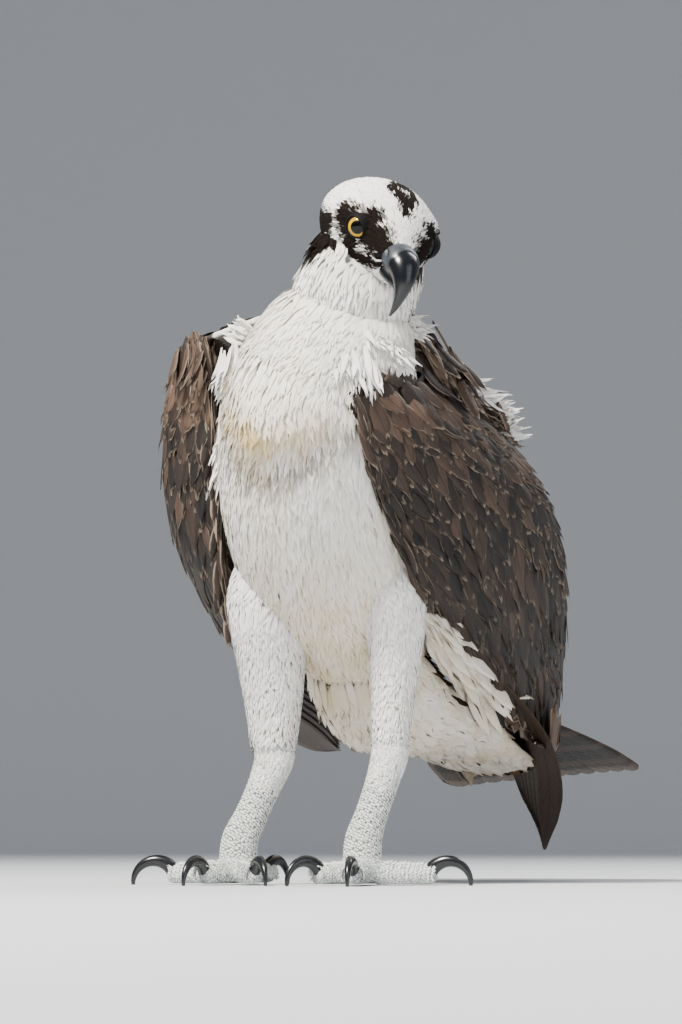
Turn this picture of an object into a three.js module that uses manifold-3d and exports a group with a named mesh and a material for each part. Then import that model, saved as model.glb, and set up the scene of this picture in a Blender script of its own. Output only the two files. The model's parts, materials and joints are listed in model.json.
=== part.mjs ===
// An osprey standing with both wings drooped, its head turned to its left and
// bowed, at life size. Millimetres, +Z up. The bird faces -Y and its left side
// is +X. The floor is Z = 0, and the finished group is set with the middle of
// its box over the origin.
import * as THREE from "three";
import { mergeVertices } from "three/addons/utils/BufferGeometryUtils.js";
import Module from "manifold-3d";

const wasm = await Module();
wasm.setup();

// Driving dimensions, in millimetres and degrees.
const GAP = 0.3; // between neighbouring pieces
const SLIVER = 0.18; // faces narrower than this, left by a cut, are merged away
const HEAD = { at: [51.5, -45.5, 365], yaw: 42, pitch: 33, roll: 12 };
const EYE = { forward: 16, side: 20.7, up: 5.2, radius: 8.2 };
const SOLE = 0.9; // how far pads and claws reach below the floor before they are trimmed
const TOE_RADIUS = 6.6;
const CLAW = { base: 4.3, tip: 0.7, bend: 12.5, sweep: 168 };
const FEATHER_THICK = 2.4; // of the tail fan and of the primaries at their edge

// Stations along a spine, head end first: x, y, z, half width, then the reach
// to the belly side and to the back side.
const TRUNK = [
  [34, -41, 336, 25, 18, 18],
  [30, -41, 322, 39, 30, 28],
  [20, -38, 296, 50, 41, 38],
  [9, -32, 266, 55, 50, 47],
  [2, -16, 228, 58, 51, 54],
  [0, 6, 190, 56, 47, 54],
  [0, 34, 160, 49, 40, 46],
  [0, 62, 140, 38, 33, 36],
  [4, 92, 128, 26, 24, 22],
];
const NECK = [
  [28, -41, 314, 32, 26, 25],
  [34, -42, 331, 34.5, 30, 31],
  [41, -41, 347, 33, 30, 31],
  [47, -40, 365, 30, 26, 28],
];
const CROP = { along: 0.32, spread: 0.11, bulge: 9 }; // the full crop on the breast
const VENT = [
  [-2, 44, 146, 33, 30, 34],
  [1, 84, 113, 37, 35, 31],
  [9, 130, 98, 36, 21, 22],
  [18, 176, 84, 34, 10, 14],
  [26, 222, 71, 26, 3.5, 5],
];
const LEGS = {
  left: {
    shank: [
      [36, -2, 190, 15, 16, 18],
      [38.5, 4, 166, 19.5, 20, 22],
      [39, 8, 148, 17.5, 18, 19],
      [38.5, 10, 127, 14.5, 15, 16],
      [37.5, 8, 101, 12, 12, 13],
      [37, 5, 79, 10.6, 10.6, 12],
    ],
    tarsus: [
      [37, 5, 76.5, 10.4, 10, 11.5],
      [34, 0.5, 58, 9.3, 9.2, 9.6],
      [30, -5.5, 40, 9.2, 9, 9],
      [27, -10, 26, 10.4, 10.2, 9.6],
      [26.5, -11, 14, 9.6, 9.6, 9.6],
    ],
    foot: [26.5, -11, 12],
    toes: { inner: [9.5, -40], middle: [35.5, -49], outer: [68.5, -4], hind: [20.5, 20] },
  },
  right: {
    shank: [
      [-34, -4, 190, 17, 17, 18],
      [-36.5, 0, 167, 23.5, 22, 23],
      [-37, 2, 150, 22.5, 21, 21],
      [-36.5, 6, 127, 20, 18, 19],
      [-36, 8, 101, 16.5, 15, 16],
      [-35.5, 7, 77, 13, 12.5, 13.5],
    ],
    tarsus: [
      [-35, 7, 74.5, 11.4, 10.5, 11.5],
      [-39, 2.5, 57, 9.6, 9.4, 9.8],
      [-44.5, -3.5, 40, 9.3, 9.2, 9.2],
      [-49.5, -8, 26, 10.4, 10.2, 9.6],
      [-50.5, -9, 14, 9.6, 9.6, 9.6],
    ],
    foot: [-50.5, -9, 12],
    toes: { inner: [-26.5, -39], middle: [-55.5, -49], outer: [-88.5, -23], hind: [-44.5, 23] },
  },
};

// A wing hangs as a cape. Each rail runs down it, from the arm to the tips of
// the secondaries, and the rails go from the leading edge round to the back.
const WINGS = {
  left: {
    rails: [
      [[45, -76, 272], [50, -63, 238], [53, -36, 203], [59, -6, 170], [53, 50, 146], [55, 104, 119]],
      [[61, -64, 284], [78, -20, 242], [82, 15, 200], [81, 45, 161], [73, 88, 128], [60, 142, 98]],
      [[72, -8, 285], [94, 38, 238], [96, 72, 195], [91, 105, 151], [80, 142, 118], [66, 186, 86]],
      [[79, 52, 270], [99, 94, 228], [99, 128, 190], [90, 158, 146], [77, 187, 110], [61, 217, 80]],
      [[75, 106, 260], [82, 138, 220], [80, 165, 180], [71, 190, 140], [59, 212, 108], [46, 240, 86]],
      [[30, 62, 274], [30, 98, 230], [29, 132, 186], [27, 162, 147], [25, 188, 120], [23, 214, 100]],
    ],
    primaries: [
      [64, 112, 122, 18, 2.6],
      [60, 172, 98, 26, 3.6],
      [50, 224, 72, 27, 3.4],
      [38, 264, 46, 23, 2.6],
      [30, 294, 22, 10, 1.6],
    ],
  },
  right: {
    rails: [
      [[-60, -41, 304], [-57, -35, 264], [-58, -22, 226], [-61, -9, 190], [-63, 8, 161], [-62, 27, 141]],
      [[-77, -30, 314], [-94, -15, 272], [-101, 0, 230], [-98, 18, 191], [-90, 42, 159], [-82, 74, 132]],
      [[-90, 5, 310], [-105, 30, 263], [-107, 56, 219], [-104, 86, 176], [-98, 117, 143], [-92, 152, 116]],
      [[-93, 50, 297], [-108, 82, 254], [-110, 115, 212], [-108, 149, 171], [-104, 181, 138], [-98, 213, 112]],
      [[-80, 88, 284], [-91, 120, 245], [-95, 152, 205], [-95, 183, 168], [-92, 209, 140], [-88, 236, 118]],
      [[-30, 60, 278], [-33, 96, 239], [-36, 130, 198], [-40, 162, 160], [-44, 190, 132], [-48, 215, 112]],
    ],
    primaries: [
      [-90, 118, 122, 22, 2.6],
      [-98, 180, 112, 26, 3.6],
      [-104, 236, 102, 26, 3.4],
      [-108, 278, 93, 22, 2.6],
      [-110, 304, 88, 9, 1.6],
    ],
  },
};
const WING_THICK = { arm: 13, tip: 3.2 };
const WING_CUT = 0.52; // where the coverts end and the secondaries begin, down the rails
const WING_GAP = 0.003; // of the same, which is over 0.3 mm
const TAIL = {
  root: [6, 112, 121],
  length: 196,
  from: -7, // degrees from straight back, the bird's right side first
  to: 24,
  drop: 12, // degrees below level at the root
  droop: 16, // and how far the tips bend below that line
  tilt: 10, // how much higher the left side's tips are
  feathers: 12,
  arch: 3,
};

const rad = THREE.MathUtils.degToRad;
const vec = (a) => new THREE.Vector3(a[0], a[1], a[2]);

// Catmull-Rom value of column `c` of a table, at t from 0 to 1 along its rows.
function column(table, c, t) {
  const last = table.length - 1;
  const x = Math.min(t, 0.999999) * last;
  const i = Math.floor(x);
  const f = x - i;
  const at = (k) => table[Math.min(last, Math.max(0, k))][c];
  const [a, b, d, e] = [at(i - 1), at(i), at(i + 1), at(i + 2)];
  return b + 0.5 * f * (d - a + f * (2 * a - 5 * b + 4 * d - e + f * (3 * (b - d) + e - a)));
}

// A closed mesh through rings of points that all have the same count. Its ends
// are fans round the middle of the first and the last ring.
function loft(rings) {
  const n = rings[0].length;
  const points = rings.flat();
  const middle = (ring) =>
    ring.reduce((sum, p) => sum.add(p), new THREE.Vector3()).divideScalar(n);
  points.push(middle(rings[0]), middle(rings[rings.length - 1]));
  const index = [];
  for (let i = 0; i + 1 < rings.length; i++) {
    for (let j = 0; j < n; j++) {
      const [a, b] = [i * n + j, i * n + ((j + 1) % n)];
      index.push(a, b, b + n, a, b + n, a + n);
    }
  }
  const end = (rings.length - 1) * n;
  for (let j = 0; j < n; j++) {
    index.push(points.length - 2, (j + 1) % n, j);
    index.push(points.length - 1, end + j, end + ((j + 1) % n));
  }
  const geometry = new THREE.BufferGeometry().setFromPoints(points);
  geometry.setIndex(index);
  return geometry;
}

// A closed slab between two grids of points, walled all the way round its edge.
function slab(outer, inner) {
  const [rows, cols] = [outer.length, outer[0].length];
  const index = [];
  const at = (side, i, j) => (side * rows + i) * cols + j;
  const quad = (a, b, c, d) => index.push(a, b, c, a, c, d);
  for (let i = 0; i + 1 < rows; i++) {
    for (let j = 0; j + 1 < cols; j++) {
      quad(at(0, i, j), at(0, i, j + 1), at(0, i + 1, j + 1), at(0, i + 1, j));
      quad(at(1, i, j), at(1, i + 1, j), at(1, i + 1, j + 1), at(1, i, j + 1));
    }
    quad(at(0, i, 0), at(0, i + 1, 0), at(1, i + 1, 0), at(1, i, 0));
    quad(at(0, i, cols - 1), at(1, i, cols - 1), at(1, i + 1, cols - 1), at(0, i + 1, cols - 1));
  }
  for (let j = 0; j + 1 < cols; j++) {
    quad(at(0, 0, j), at(1, 0, j), at(1, 0, j + 1), at(0, 0, j + 1));
    quad(at(0, rows - 1, j), at(0, rows - 1, j + 1), at(1, rows - 1, j + 1), at(1, rows - 1, j));
  }
  const geometry = new THREE.BufferGeometry().setFromPoints([...outer.flat(), ...inner.flat()]);
  geometry.setIndex(index);
  return geometry;
}

// The solid of a closed mesh, turned to face outwards.
function solid(geometry) {
  const bare = geometry.clone();
  bare.deleteAttribute("normal");
  bare.deleteAttribute("uv");
  const merged = mergeVertices(bare, 1e-4);
  const make = (triVerts) =>
    new wasm.Manifold(
      new wasm.Mesh({ numProp: 3, vertProperties: merged.attributes.position.array, triVerts }),
    );
  const made = make(new Uint32Array(merged.index.array));
  if (made.volume() > 0) return made;
  const turned = new Uint32Array(merged.index.array);
  for (let i = 0; i < turned.length; i += 3) {
    [turned[i + 1], turned[i + 2]] = [turned[i + 2], turned[i + 1]];
  }
  return make(turned);
}

// The same solid with every face moved outwards, for cutting a neighbour clear of
// it. A vertex moves along the mean of its faces' normals, each weighted by the
// corner it has there, and farther where those faces meet at a sharp edge.
function swollen(piece, by = GAP) {
  const mesh = piece.getMesh();
  const points = [];
  for (let i = 0; i < mesh.vertProperties.length; i += 3) {
    points.push(vec(mesh.vertProperties.subarray(i, i + 3)));
  }
  const faces = [];
  const outward = points.map(() => new THREE.Vector3());
  for (let i = 0; i < mesh.triVerts.length; i += 3) {
    const corners = [...mesh.triVerts.subarray(i, i + 3)];
    const triangle = new THREE.Triangle(...corners.map((c) => points[c]));
    const normal = triangle.getNormal(new THREE.Vector3());
    faces.push({ corners, normal });
    corners.forEach((c, k) => {
      const ahead = points[corners[(k + 1) % 3]].clone().sub(points[c]);
      const behind = points[corners[(k + 2) % 3]].clone().sub(points[c]);
      outward[c].addScaledVector(normal, ahead.angleTo(behind));
    });
  }
  outward.forEach((normal) => normal.normalize());
  const least = points.map(() => 1);
  for (const { corners, normal } of faces) {
    for (const c of corners) least[c] = Math.min(least[c], outward[c].dot(normal));
  }
  const moved = points.map((p, i) =>
    p.clone().addScaledVector(outward[i], by / Math.max(0.5, least[i])),
  );
  const geometry = new THREE.BufferGeometry().setFromPoints(moved);
  geometry.setIndex([...mesh.triVerts]);
  return solid(geometry);
}

// Ring angles run from the belly side (0) over the bird's left (90) to the back (180).
function bodyRing(at, along, reach, sides, bulge) {
  const side = new THREE.Vector3(1, 0, 0).addScaledVector(along, -along.x).normalize();
  const front = new THREE.Vector3().crossVectors(along, side);
  const [half, fore, aft] = reach;
  return Array.from({ length: sides }, (_, k) => {
    const angle = (2 * Math.PI * k) / sides;
    const [c, s] = [Math.cos(angle), Math.sin(angle)];
    const depth = (c > 0 ? fore : aft) + bulge(angle);
    return vec(at)
      .addScaledVector(front, c * depth)
      .addScaledVector(side, s * half);
  });
}

// A rounded body along a table of stations.
function bodyTube(stations, { rings, sides, bulge = () => 0 }) {
  const spine = (t) => vec([0, 1, 2].map((c) => column(stations, c, t)));
  const made = [];
  for (let i = 0; i <= rings; i++) {
    const t = i / rings;
    const step = 0.01;
    const ahead = spine(Math.min(1, t + step));
    const along = ahead.sub(spine(Math.max(0, t - step))).normalize();
    const reach = [3, 4, 5].map((c) => column(stations, c, t));
    made.push(bodyRing(spine(t).toArray(), along, reach, sides, (angle) => bulge(t, angle)));
  }
  return solid(loft(made));
}

// The crop stands out of the breast as a soft bag with a crease under it.
function cropBulge(t, angle) {
  const ahead = Math.max(0, Math.cos(angle));
  const across = Math.exp(-(((t - CROP.along) / CROP.spread) ** 2));
  return CROP.bulge * across * ahead ** 2;
}

// The head's own frame: forward along the bill, out to its left, and up.
const headFrame = (() => {
  const [yaw, pitch, roll] = [HEAD.yaw, HEAD.pitch, HEAD.roll].map(rad);
  const flat = new THREE.Vector3(Math.sin(yaw), -Math.cos(yaw), 0);
  const level = new THREE.Vector3(Math.cos(yaw), Math.sin(yaw), 0);
  const forward = flat.clone().multiplyScalar(Math.cos(pitch));
  forward.z = -Math.sin(pitch);
  const upright = flat.clone().multiplyScalar(Math.sin(pitch));
  upright.z = Math.cos(pitch);
  const left = level.clone().multiplyScalar(Math.cos(roll));
  left.addScaledVector(upright, -Math.sin(roll));
  const up = upright.clone().multiplyScalar(Math.cos(roll));
  up.addScaledVector(level, Math.sin(roll));
  return { forward, left, up };
})();
function onHead(forward, left, up) {
  return vec(HEAD.at)
    .addScaledVector(headFrame.forward, forward)
    .addScaledVector(headFrame.left, left)
    .addScaledVector(headFrame.up, up);
}

// Stations from the nape to the bill: forward, half width, top, bottom, lift of the middle.
const SKULL = [
  [-46, 6, 5, 8, -4],
  [-39, 18, 13, 18, -3],
  [-26, 28, 22, 26, -1],
  [-10, 31.5, 27, 28, 0],
  [4, 30.5, 27, 27, 0],
  [16, 26, 23, 23, 0],
  [26, 19, 17, 18.5, 0],
  [34, 13, 11, 16, -1.5],
  [39, 9.5, 7, 13, -2.5],
];
const BROW = { forward: 14, length: 12, angle: 62, width: 20, height: 3.2 };

function head() {
  const [rings, sides] = [12, 16];
  const made = [];
  for (let i = 0; i <= rings; i++) {
    const [x, half, top, bottom, lift] = [0, 1, 2, 3, 4].map((c) => column(SKULL, c, i / rings));
    const ring = [];
    for (let k = 0; k < sides; k++) {
      const angle = (2 * Math.PI * k) / sides; // from the crown, over the left side
      const [c, s] = [Math.cos(angle), Math.sin(angle)];
      const away = THREE.MathUtils.radToDeg(Math.acos(c)) - BROW.angle;
      const brow =
        BROW.height *
        Math.exp(-(((x - BROW.forward) / BROW.length) ** 2) - (away / BROW.width) ** 2);
      const r = 1 + brow / 24;
      ring.push(onHead(x, s * half * r, lift + c * (c > 0 ? top : bottom) * r));
    }
    made.push(ring);
  }
  return solid(loft(made));
}

// Bill stations: forward, up, half width, reach above, reach below.
const UPPER_BILL = [
  [30, -1.5, 10, 8.6, 8],
  [38, -1, 10, 8.4, 8.5],
  [45, -2.5, 8.8, 7.8, 8.5],
  [51, -7, 6.2, 5.8, 7.2],
  [54.2, -13.5, 3.9, 4.2, 5],
  [54.4, -21, 2.1, 2.4, 2.8],
  [52.5, -28.5, 0.6, 0.7, 0.7],
];
const LOWER_BILL = [
  [29, -9.5, 9.6, 6, 5],
  [37, -10.5, 8, 6, 4.4],
  [43, -11.5, 5.8, 5, 3.6],
  [47.5, -13, 3, 3, 2],
];
function bill(stations) {
  const [rings, sides] = [8, 10];
  const middle = (t) => [column(stations, 0, t), column(stations, 1, t)];
  const made = [];
  for (let i = 0; i <= rings; i++) {
    const t = i / rings;
    const [from, to] = [middle(Math.max(0, t - 0.02)), middle(Math.min(1, t + 0.02))];
    const slope = Math.atan2(to[1] - from[1], to[0] - from[0]);
    const [x, z] = middle(t);
    const [half, above, below] = [2, 3, 4].map((c) => column(stations, c, t));
    const ring = [];
    for (let k = 0; k < sides; k++) {
      const angle = (2 * Math.PI * k) / sides;
      const [c, s] = [Math.cos(angle), Math.sin(angle)];
      const reach = c * (c > 0 ? above : below);
      ring.push(onHead(x - Math.sin(slope) * reach, s * half, z + Math.cos(slope) * reach));
    }
    made.push(ring);
  }
  return solid(loft(made));
}

function ball(center, radius) {
  const geometry = new THREE.SphereGeometry(radius, 12, 8);
  geometry.translate(center.x, center.y, center.z);
  return solid(geometry);
}
const eyeAt = (side) => onHead(EYE.forward, side * EYE.side, EYE.up);

// A wing's cape: a section across the rails at each height, with an outer and an
// inner line. The lower edge is scalloped where the feather tips show.
function wing(rails, sign, from, to) {
  const [rows, across, tips] = [4, 12, 6];
  const surface = (u, s) => {
    const section = rails.map((rail) => [0, 1, 2].map((c) => column(rail, c, s)));
    return vec([0, 1, 2].map((c) => column(section, c, u)));
  };
  const [outside, inside] = [[], []];
  for (let i = 0; i <= rows; i++) {
    const outer = [];
    const inner = [];
    for (let k = 0; k <= across; k++) {
      const u = k / across;
      const notch = 0.045 * (1 - Math.abs(Math.sin(Math.PI * tips * u)));
      // Rows lie closer together at the top, where the arm rounds over.
      const t = from + ((to - from) * i) / rows;
      const s = t ** 1.35 - notch * t ** 4;
      const point = surface(u, s);
      const e = 0.02;
      const du = surface(Math.min(1, u + e), s).sub(surface(Math.max(0, u - e), s));
      const ds = surface(u, Math.min(1, s + e)).sub(surface(u, Math.max(0, s - e)));
      const out = new THREE.Vector3().crossVectors(du, ds).normalize().multiplyScalar(-sign);
      const edge = Math.sin(Math.PI * Math.min(1, 0.1 + 0.8 * u)) ** 0.5;
      const thick =
        THREE.MathUtils.lerp(WING_THICK.arm, WING_THICK.tip, Math.min(1, s * 1.5)) * edge;
      const inset = thick * Math.max(0, 0.9 - 8 * t);
      outer.push(point.clone().addScaledVector(out, -inset));
      inner.push(point.clone().addScaledVector(out, -thick));
    }
    outside.push(outer);
    inside.push(inner);
  }
  return solid(slab(outside, inside));
}

// The folded primaries are one flat bundle: stations x, y, z, half width, half thickness.
function primaries(stations, sign) {
  const [rings, sides] = [8, 10];
  const spine = (t) => vec([0, 1, 2].map((c) => column(stations, c, t)));
  const made = [];
  for (let i = 0; i <= rings; i++) {
    const t = i / rings;
    const along = spine(Math.min(1, t + 0.02)).sub(spine(Math.max(0, t - 0.02))).normalize();
    const out = new THREE.Vector3(sign, 0, 0).addScaledVector(along, -sign * along.x).normalize();
    const wide = new THREE.Vector3().crossVectors(along, out);
    const [half, thin] = [3, 4].map((c) => column(stations, c, t));
    made.push(
      Array.from({ length: sides }, (_, k) => {
        const angle = (2 * Math.PI * k) / sides;
        return spine(t)
          .addScaledVector(wide, Math.cos(angle) * half)
          .addScaledVector(out, Math.sin(angle) * thin);
      }),
    );
  }
  return solid(loft(made));
}

// The tail fan: rows from its root to the tips, arched across, with a rounded
// tip for each feather.
function tailFan() {
  const [rows, perFeather] = [4, 2];
  const across = TAIL.feathers * perFeather;
  const [above, below] = [[], []];
  for (let i = 0; i <= rows; i++) {
    const [upper, lower] = [[], []];
    for (let k = 0; k <= across; k++) {
      const u = k / across;
      const angle = rad(THREE.MathUtils.lerp(TAIL.from, TAIL.to, u));
      const inFeather = Math.abs(Math.sin((Math.PI * k) / perFeather));
      const notch = 7 * (1 - inFeather) * (i / rows) ** 4;
      const reach = TAIL.length * (0.12 + (0.88 * i) / rows) - notch;
      const down = Math.tan(rad(TAIL.drop));
      const arch = TAIL.arch * (1 - (2 * u - 1) ** 2) * (i / rows);
      const x = TAIL.root[0] + Math.sin(angle) * reach + (2 * u - 1) * 14;
      const y = TAIL.root[1] + Math.cos(angle) * reach;
      const bend = TAIL.droop * (i / rows) ** 2 - TAIL.tilt * (u - 0.5) * (i / rows);
      const z = TAIL.root[2] - down * reach - bend + arch;
      upper.push(vec([x, y, z + FEATHER_THICK / 2]));
      lower.push(vec([x, y, z - FEATHER_THICK / 2]));
    }
    above.push(upper);
    below.push(lower);
  }
  return solid(slab(above, below));
}

// A toe from the foot's pad to its last joint, with a swelling at each pad.
function toe(foot, end) {
  const start = vec(foot);
  const finish = vec([end[0], end[1], TOE_RADIUS + 2.6]);
  const [rings, sides] = [5, 8];
  const way = finish.clone().sub(start).setZ(0).normalize();
  const side = new THREE.Vector3(-way.y, way.x, 0);
  const made = [];
  for (let i = 0; i <= rings; i++) {
    const t = i / rings;
    const middle = start.clone().lerp(finish, t);
    middle.z = THREE.MathUtils.lerp(9.5, 8.6, t) + 1.8 * Math.sin(Math.PI * t) ** 2;
    const pads = 0.9 * Math.sin(3 * Math.PI * t) ** 2;
    const taper = t > 0.9 ? 0.72 : 1;
    const r = (TOE_RADIUS + pads * 0.8) * taper;
    const below = middle.z + SOLE - (t > 0.9 ? 2.2 : 0);
    made.push(
      Array.from({ length: sides }, (_, k) => {
        const angle = (2 * Math.PI * k) / sides;
        const c = Math.cos(angle);
        const p = middle.clone().addScaledVector(side, Math.sin(angle) * r);
        p.z += c * (c > 0 ? r : below);
        return p;
      }),
    );
  }
  return solid(loft(made));
}

// A claw: a round horn bent forwards and down to the floor.
function claw(foot, end) {
  const way = vec([end[0] - foot[0], end[1] - foot[1], 0]).normalize();
  const root = vec([end[0], end[1], 0]).addScaledVector(way, -1.5);
  const middleZ = 1.2; // height of the bend's centre
  const centre = root.clone().addScaledVector(way, 8.5).setZ(middleZ);
  const side = new THREE.Vector3(-way.y, way.x, 0);
  const [rings, sides] = [7, 6];
  const made = [];
  for (let i = 0; i <= rings; i++) {
    const t = i / rings;
    const angle = rad(140 - t * CLAW.sweep + 6);
    const outward = way.clone().multiplyScalar(Math.cos(angle)).setZ(Math.sin(angle));
    const middle = centre.clone().addScaledVector(outward, CLAW.bend);
    const r = THREE.MathUtils.lerp(CLAW.base, CLAW.tip, t ** 1.15);
    made.push(
      Array.from({ length: sides }, (_, k) => {
        const turn = (2 * Math.PI * k) / sides;
        return middle
          .clone()
          .addScaledVector(side, Math.sin(turn) * r * 0.85)
          .addScaledVector(outward, Math.cos(turn) * r);
      }),
    );
  }
  return solid(loft(made));
}

function footPad(foot) {
  const geometry = new THREE.SphereGeometry(1, 10, 7);
  geometry.scale(13, 14, 13);
  geometry.translate(foot[0], foot[1] + 2, foot[2] - 1);
  return solid(geometry);
}

// Everything below the floor is cut off, which leaves small flats to stand on.
const BIG = 900;
const underFloor = (() => {
  const block = new THREE.BoxGeometry(BIG, BIG, BIG);
  block.translate(0, 0, -BIG / 2);
  return solid(block);
})();

// The largest body that is left of a solid once its neighbours are cut away.
function without(piece, ...others) {
  const left = others.reduce((rest, other) => rest.subtract(other), piece);
  return left.decompose().reduce((a, b) => (a.volume() > b.volume() ? a : b));
}

const group = new THREE.Group();
const COLOURS = {
  white: [0xe9e7e1, 0.9],
  brown: [0x3a2a20, 0.75],
  skin: [0xc9cfd0, 0.7],
  horn: [0x14171c, 0.3],
  eye: [0xd9a800, 0.15],
};
function add(name, piece, colour) {
  const mesh = piece.simplify(SLIVER).getMesh();
  const geometry = new THREE.BufferGeometry();
  geometry.setAttribute("position", new THREE.BufferAttribute(mesh.vertProperties, 3));
  geometry.setIndex(new THREE.BufferAttribute(mesh.triVerts, 1));
  const [color, roughness] = COLOURS[colour];
  const material = new THREE.MeshStandardMaterial({ color, roughness, metalness: 0 });
  const made = new THREE.Mesh(geometry.toNonIndexed(), material);
  made.geometry.computeVertexNormals();
  made.name = name;
  group.add(made);
}

// Trunk, with a thin cut between breast and belly across the spine.
const trunk = bodyTube(TRUNK, { rings: 14, sides: 20, bulge: cropBulge });
const cut = (() => {
  const block = new THREE.BoxGeometry(BIG, BIG, GAP);
  block.rotateX(rad(30));
  block.translate(0, -8, 214);
  return solid(block);
})();
const [breast, belly] = trunk
  .subtract(cut)
  .decompose()
  .sort((a, b) => b.boundingBox().max[2] - a.boundingBox().max[2]);
add("breast", breast, "white");
add("belly", belly, "white");
const trunkClear = swollen(trunk);

const upperBill = bill(UPPER_BILL);
const lowerBill = without(bill(LOWER_BILL), swollen(upperBill));
const bills = [swollen(upperBill), swollen(lowerBill)];
const eyes = { left: ball(eyeAt(1), EYE.radius), right: ball(eyeAt(-1), EYE.radius) };
const sockets = Object.values(eyes).map((eye) => swollen(eye));
const skull = without(head(), ...bills, ...sockets, trunkClear);
const skullClear = swollen(head());
const throat = bodyTube(NECK, { rings: 4, sides: 16 });
add("neck", without(throat, trunkClear, skullClear, ...bills), "white");
const neckClear = swollen(throat);
add("head", skull, "white");
add("bill_upper", without(upperBill, trunkClear), "horn");
add("bill_lower", without(lowerBill, trunkClear), "horn");
add("eye_left", eyes.left, "eye");
add("eye_right", eyes.right, "eye");

const fan = tailFan();
const tailBase = bodyTube(VENT, { rings: 7, sides: 12 });
const fanClear = swollen(fan);
add("tail_feathers", without(fan, trunkClear), "brown");
add("tail_base", without(tailBase, trunkClear, fanClear), "white");
const rear = [trunkClear, swollen(tailBase), fanClear];

const shanks = {};
for (const [name, leg] of Object.entries(LEGS)) {
  const shank = bodyTube(leg.shank, { rings: 6, sides: 12 });
  const tarsus = bodyTube(leg.tarsus, { rings: 4, sides: 10 });
  shanks[name] = swollen(shank);
  add(`shank_${name}`, without(shank, ...rear), "white");
  add(`tarsus_${name}`, without(tarsus, shanks[name], underFloor), "skin");
  const pad = footPad(leg.foot);
  const body = [shanks[name], swollen(tarsus)];
  add(`foot_${name}`, without(pad, ...body, underFloor), "skin");
  body.push(swollen(pad));
  for (const [digit, end] of Object.entries(leg.toes)) {
    const horn = claw(leg.foot, end);
    const flesh = toe(leg.foot, end);
    add(`claw_${name}_${digit}`, without(horn, ...body, underFloor), "horn");
    add(`toe_${name}_${digit}`, without(flesh, swollen(horn), ...body, underFloor), "skin");
    body.push(swollen(flesh), swollen(horn));
  }
}

for (const [name, parts] of Object.entries(WINGS)) {
  const sign = name === "left" ? 1 : -1;
  const clear = [...rear, shanks[name], neckClear, skullClear];
  const coverts = wing(parts.rails, sign, 0, WING_CUT);
  const secondaries = wing(parts.rails, sign, WING_CUT + WING_GAP, 1);
  const bundle = primaries(parts.primaries, sign);
  add(`coverts_${name}`, without(coverts, ...clear), "brown");
  add(`secondaries_${name}`, without(secondaries, ...clear), "brown");
  const cape = [swollen(coverts), swollen(secondaries)];
  add(`primaries_${name}`, without(bundle, ...cape, ...clear), "brown");
}

const box = new THREE.Box3().setFromObject(group);
const middle = box.getCenter(new THREE.Vector3());
group.position.set(-middle.x, -middle.y, -box.min.z);

export default group;
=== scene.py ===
# %% [markdown]
# # An osprey with drooped wings
#
# This file builds the looks of a life-size osprey: one skin for all its flesh,
# some twenty-seven thousand feathers as real mesh, a horn bill and claws, wet
# yellow eyes and scaly feet. Sizes are in millimetres in the bird's own frame: it
# faces -Y, its left is +X, and the floor is Z = 0. The function called metres
# turns them into Blender's own unit.

# %% Load the fixed frame
import json
import math

import bmesh
import bpy
import numpy as np
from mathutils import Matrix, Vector
from mathutils.bvhtree import BVHTree

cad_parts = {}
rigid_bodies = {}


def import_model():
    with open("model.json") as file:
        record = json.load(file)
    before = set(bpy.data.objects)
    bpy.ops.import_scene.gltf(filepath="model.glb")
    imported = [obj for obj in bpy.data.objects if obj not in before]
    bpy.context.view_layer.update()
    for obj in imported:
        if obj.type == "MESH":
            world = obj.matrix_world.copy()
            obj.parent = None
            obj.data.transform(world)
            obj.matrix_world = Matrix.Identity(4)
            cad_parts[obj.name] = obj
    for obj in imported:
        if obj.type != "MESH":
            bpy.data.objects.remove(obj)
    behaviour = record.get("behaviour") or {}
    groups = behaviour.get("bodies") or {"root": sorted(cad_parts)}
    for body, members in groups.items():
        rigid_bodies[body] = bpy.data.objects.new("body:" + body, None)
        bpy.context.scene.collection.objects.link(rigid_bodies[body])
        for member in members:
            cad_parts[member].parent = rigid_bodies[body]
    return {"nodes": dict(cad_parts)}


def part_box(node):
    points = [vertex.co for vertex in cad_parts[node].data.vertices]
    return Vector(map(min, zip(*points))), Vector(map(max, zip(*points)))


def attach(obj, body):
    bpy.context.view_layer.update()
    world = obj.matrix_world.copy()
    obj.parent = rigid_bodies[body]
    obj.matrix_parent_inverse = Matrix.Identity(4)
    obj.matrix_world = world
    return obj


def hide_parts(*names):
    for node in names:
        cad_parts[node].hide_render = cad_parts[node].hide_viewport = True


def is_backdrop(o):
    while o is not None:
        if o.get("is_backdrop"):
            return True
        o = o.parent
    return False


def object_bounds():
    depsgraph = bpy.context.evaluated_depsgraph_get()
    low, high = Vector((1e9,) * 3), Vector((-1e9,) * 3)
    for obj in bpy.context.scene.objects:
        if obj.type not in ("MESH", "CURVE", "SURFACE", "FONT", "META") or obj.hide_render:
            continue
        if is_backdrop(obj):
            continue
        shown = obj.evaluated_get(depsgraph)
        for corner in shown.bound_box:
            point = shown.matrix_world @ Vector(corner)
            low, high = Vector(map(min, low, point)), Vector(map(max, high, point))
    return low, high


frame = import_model()
cad_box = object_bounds()
print("nodes", len(frame["nodes"]))

# %% [markdown]
# ## The bird's measurements
#
# A body of soft shapes is easiest to describe by stations along a line: at each
# one, where the middle is, how wide the body is, and how far it reaches towards
# the belly and the back. The feathers, the skin under them and the solids of the
# frame all follow the same stations, so nothing has to be fitted afterwards.

# %% Stations of the body
HEAD_AT = np.array([51.5, -45.5, 365.0])
HEAD_TURN = {"yaw": 42, "pitch": 33, "roll": 12}
EYE = {"forward": 16.0, "side": 20.7, "up": 5.2}

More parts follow.
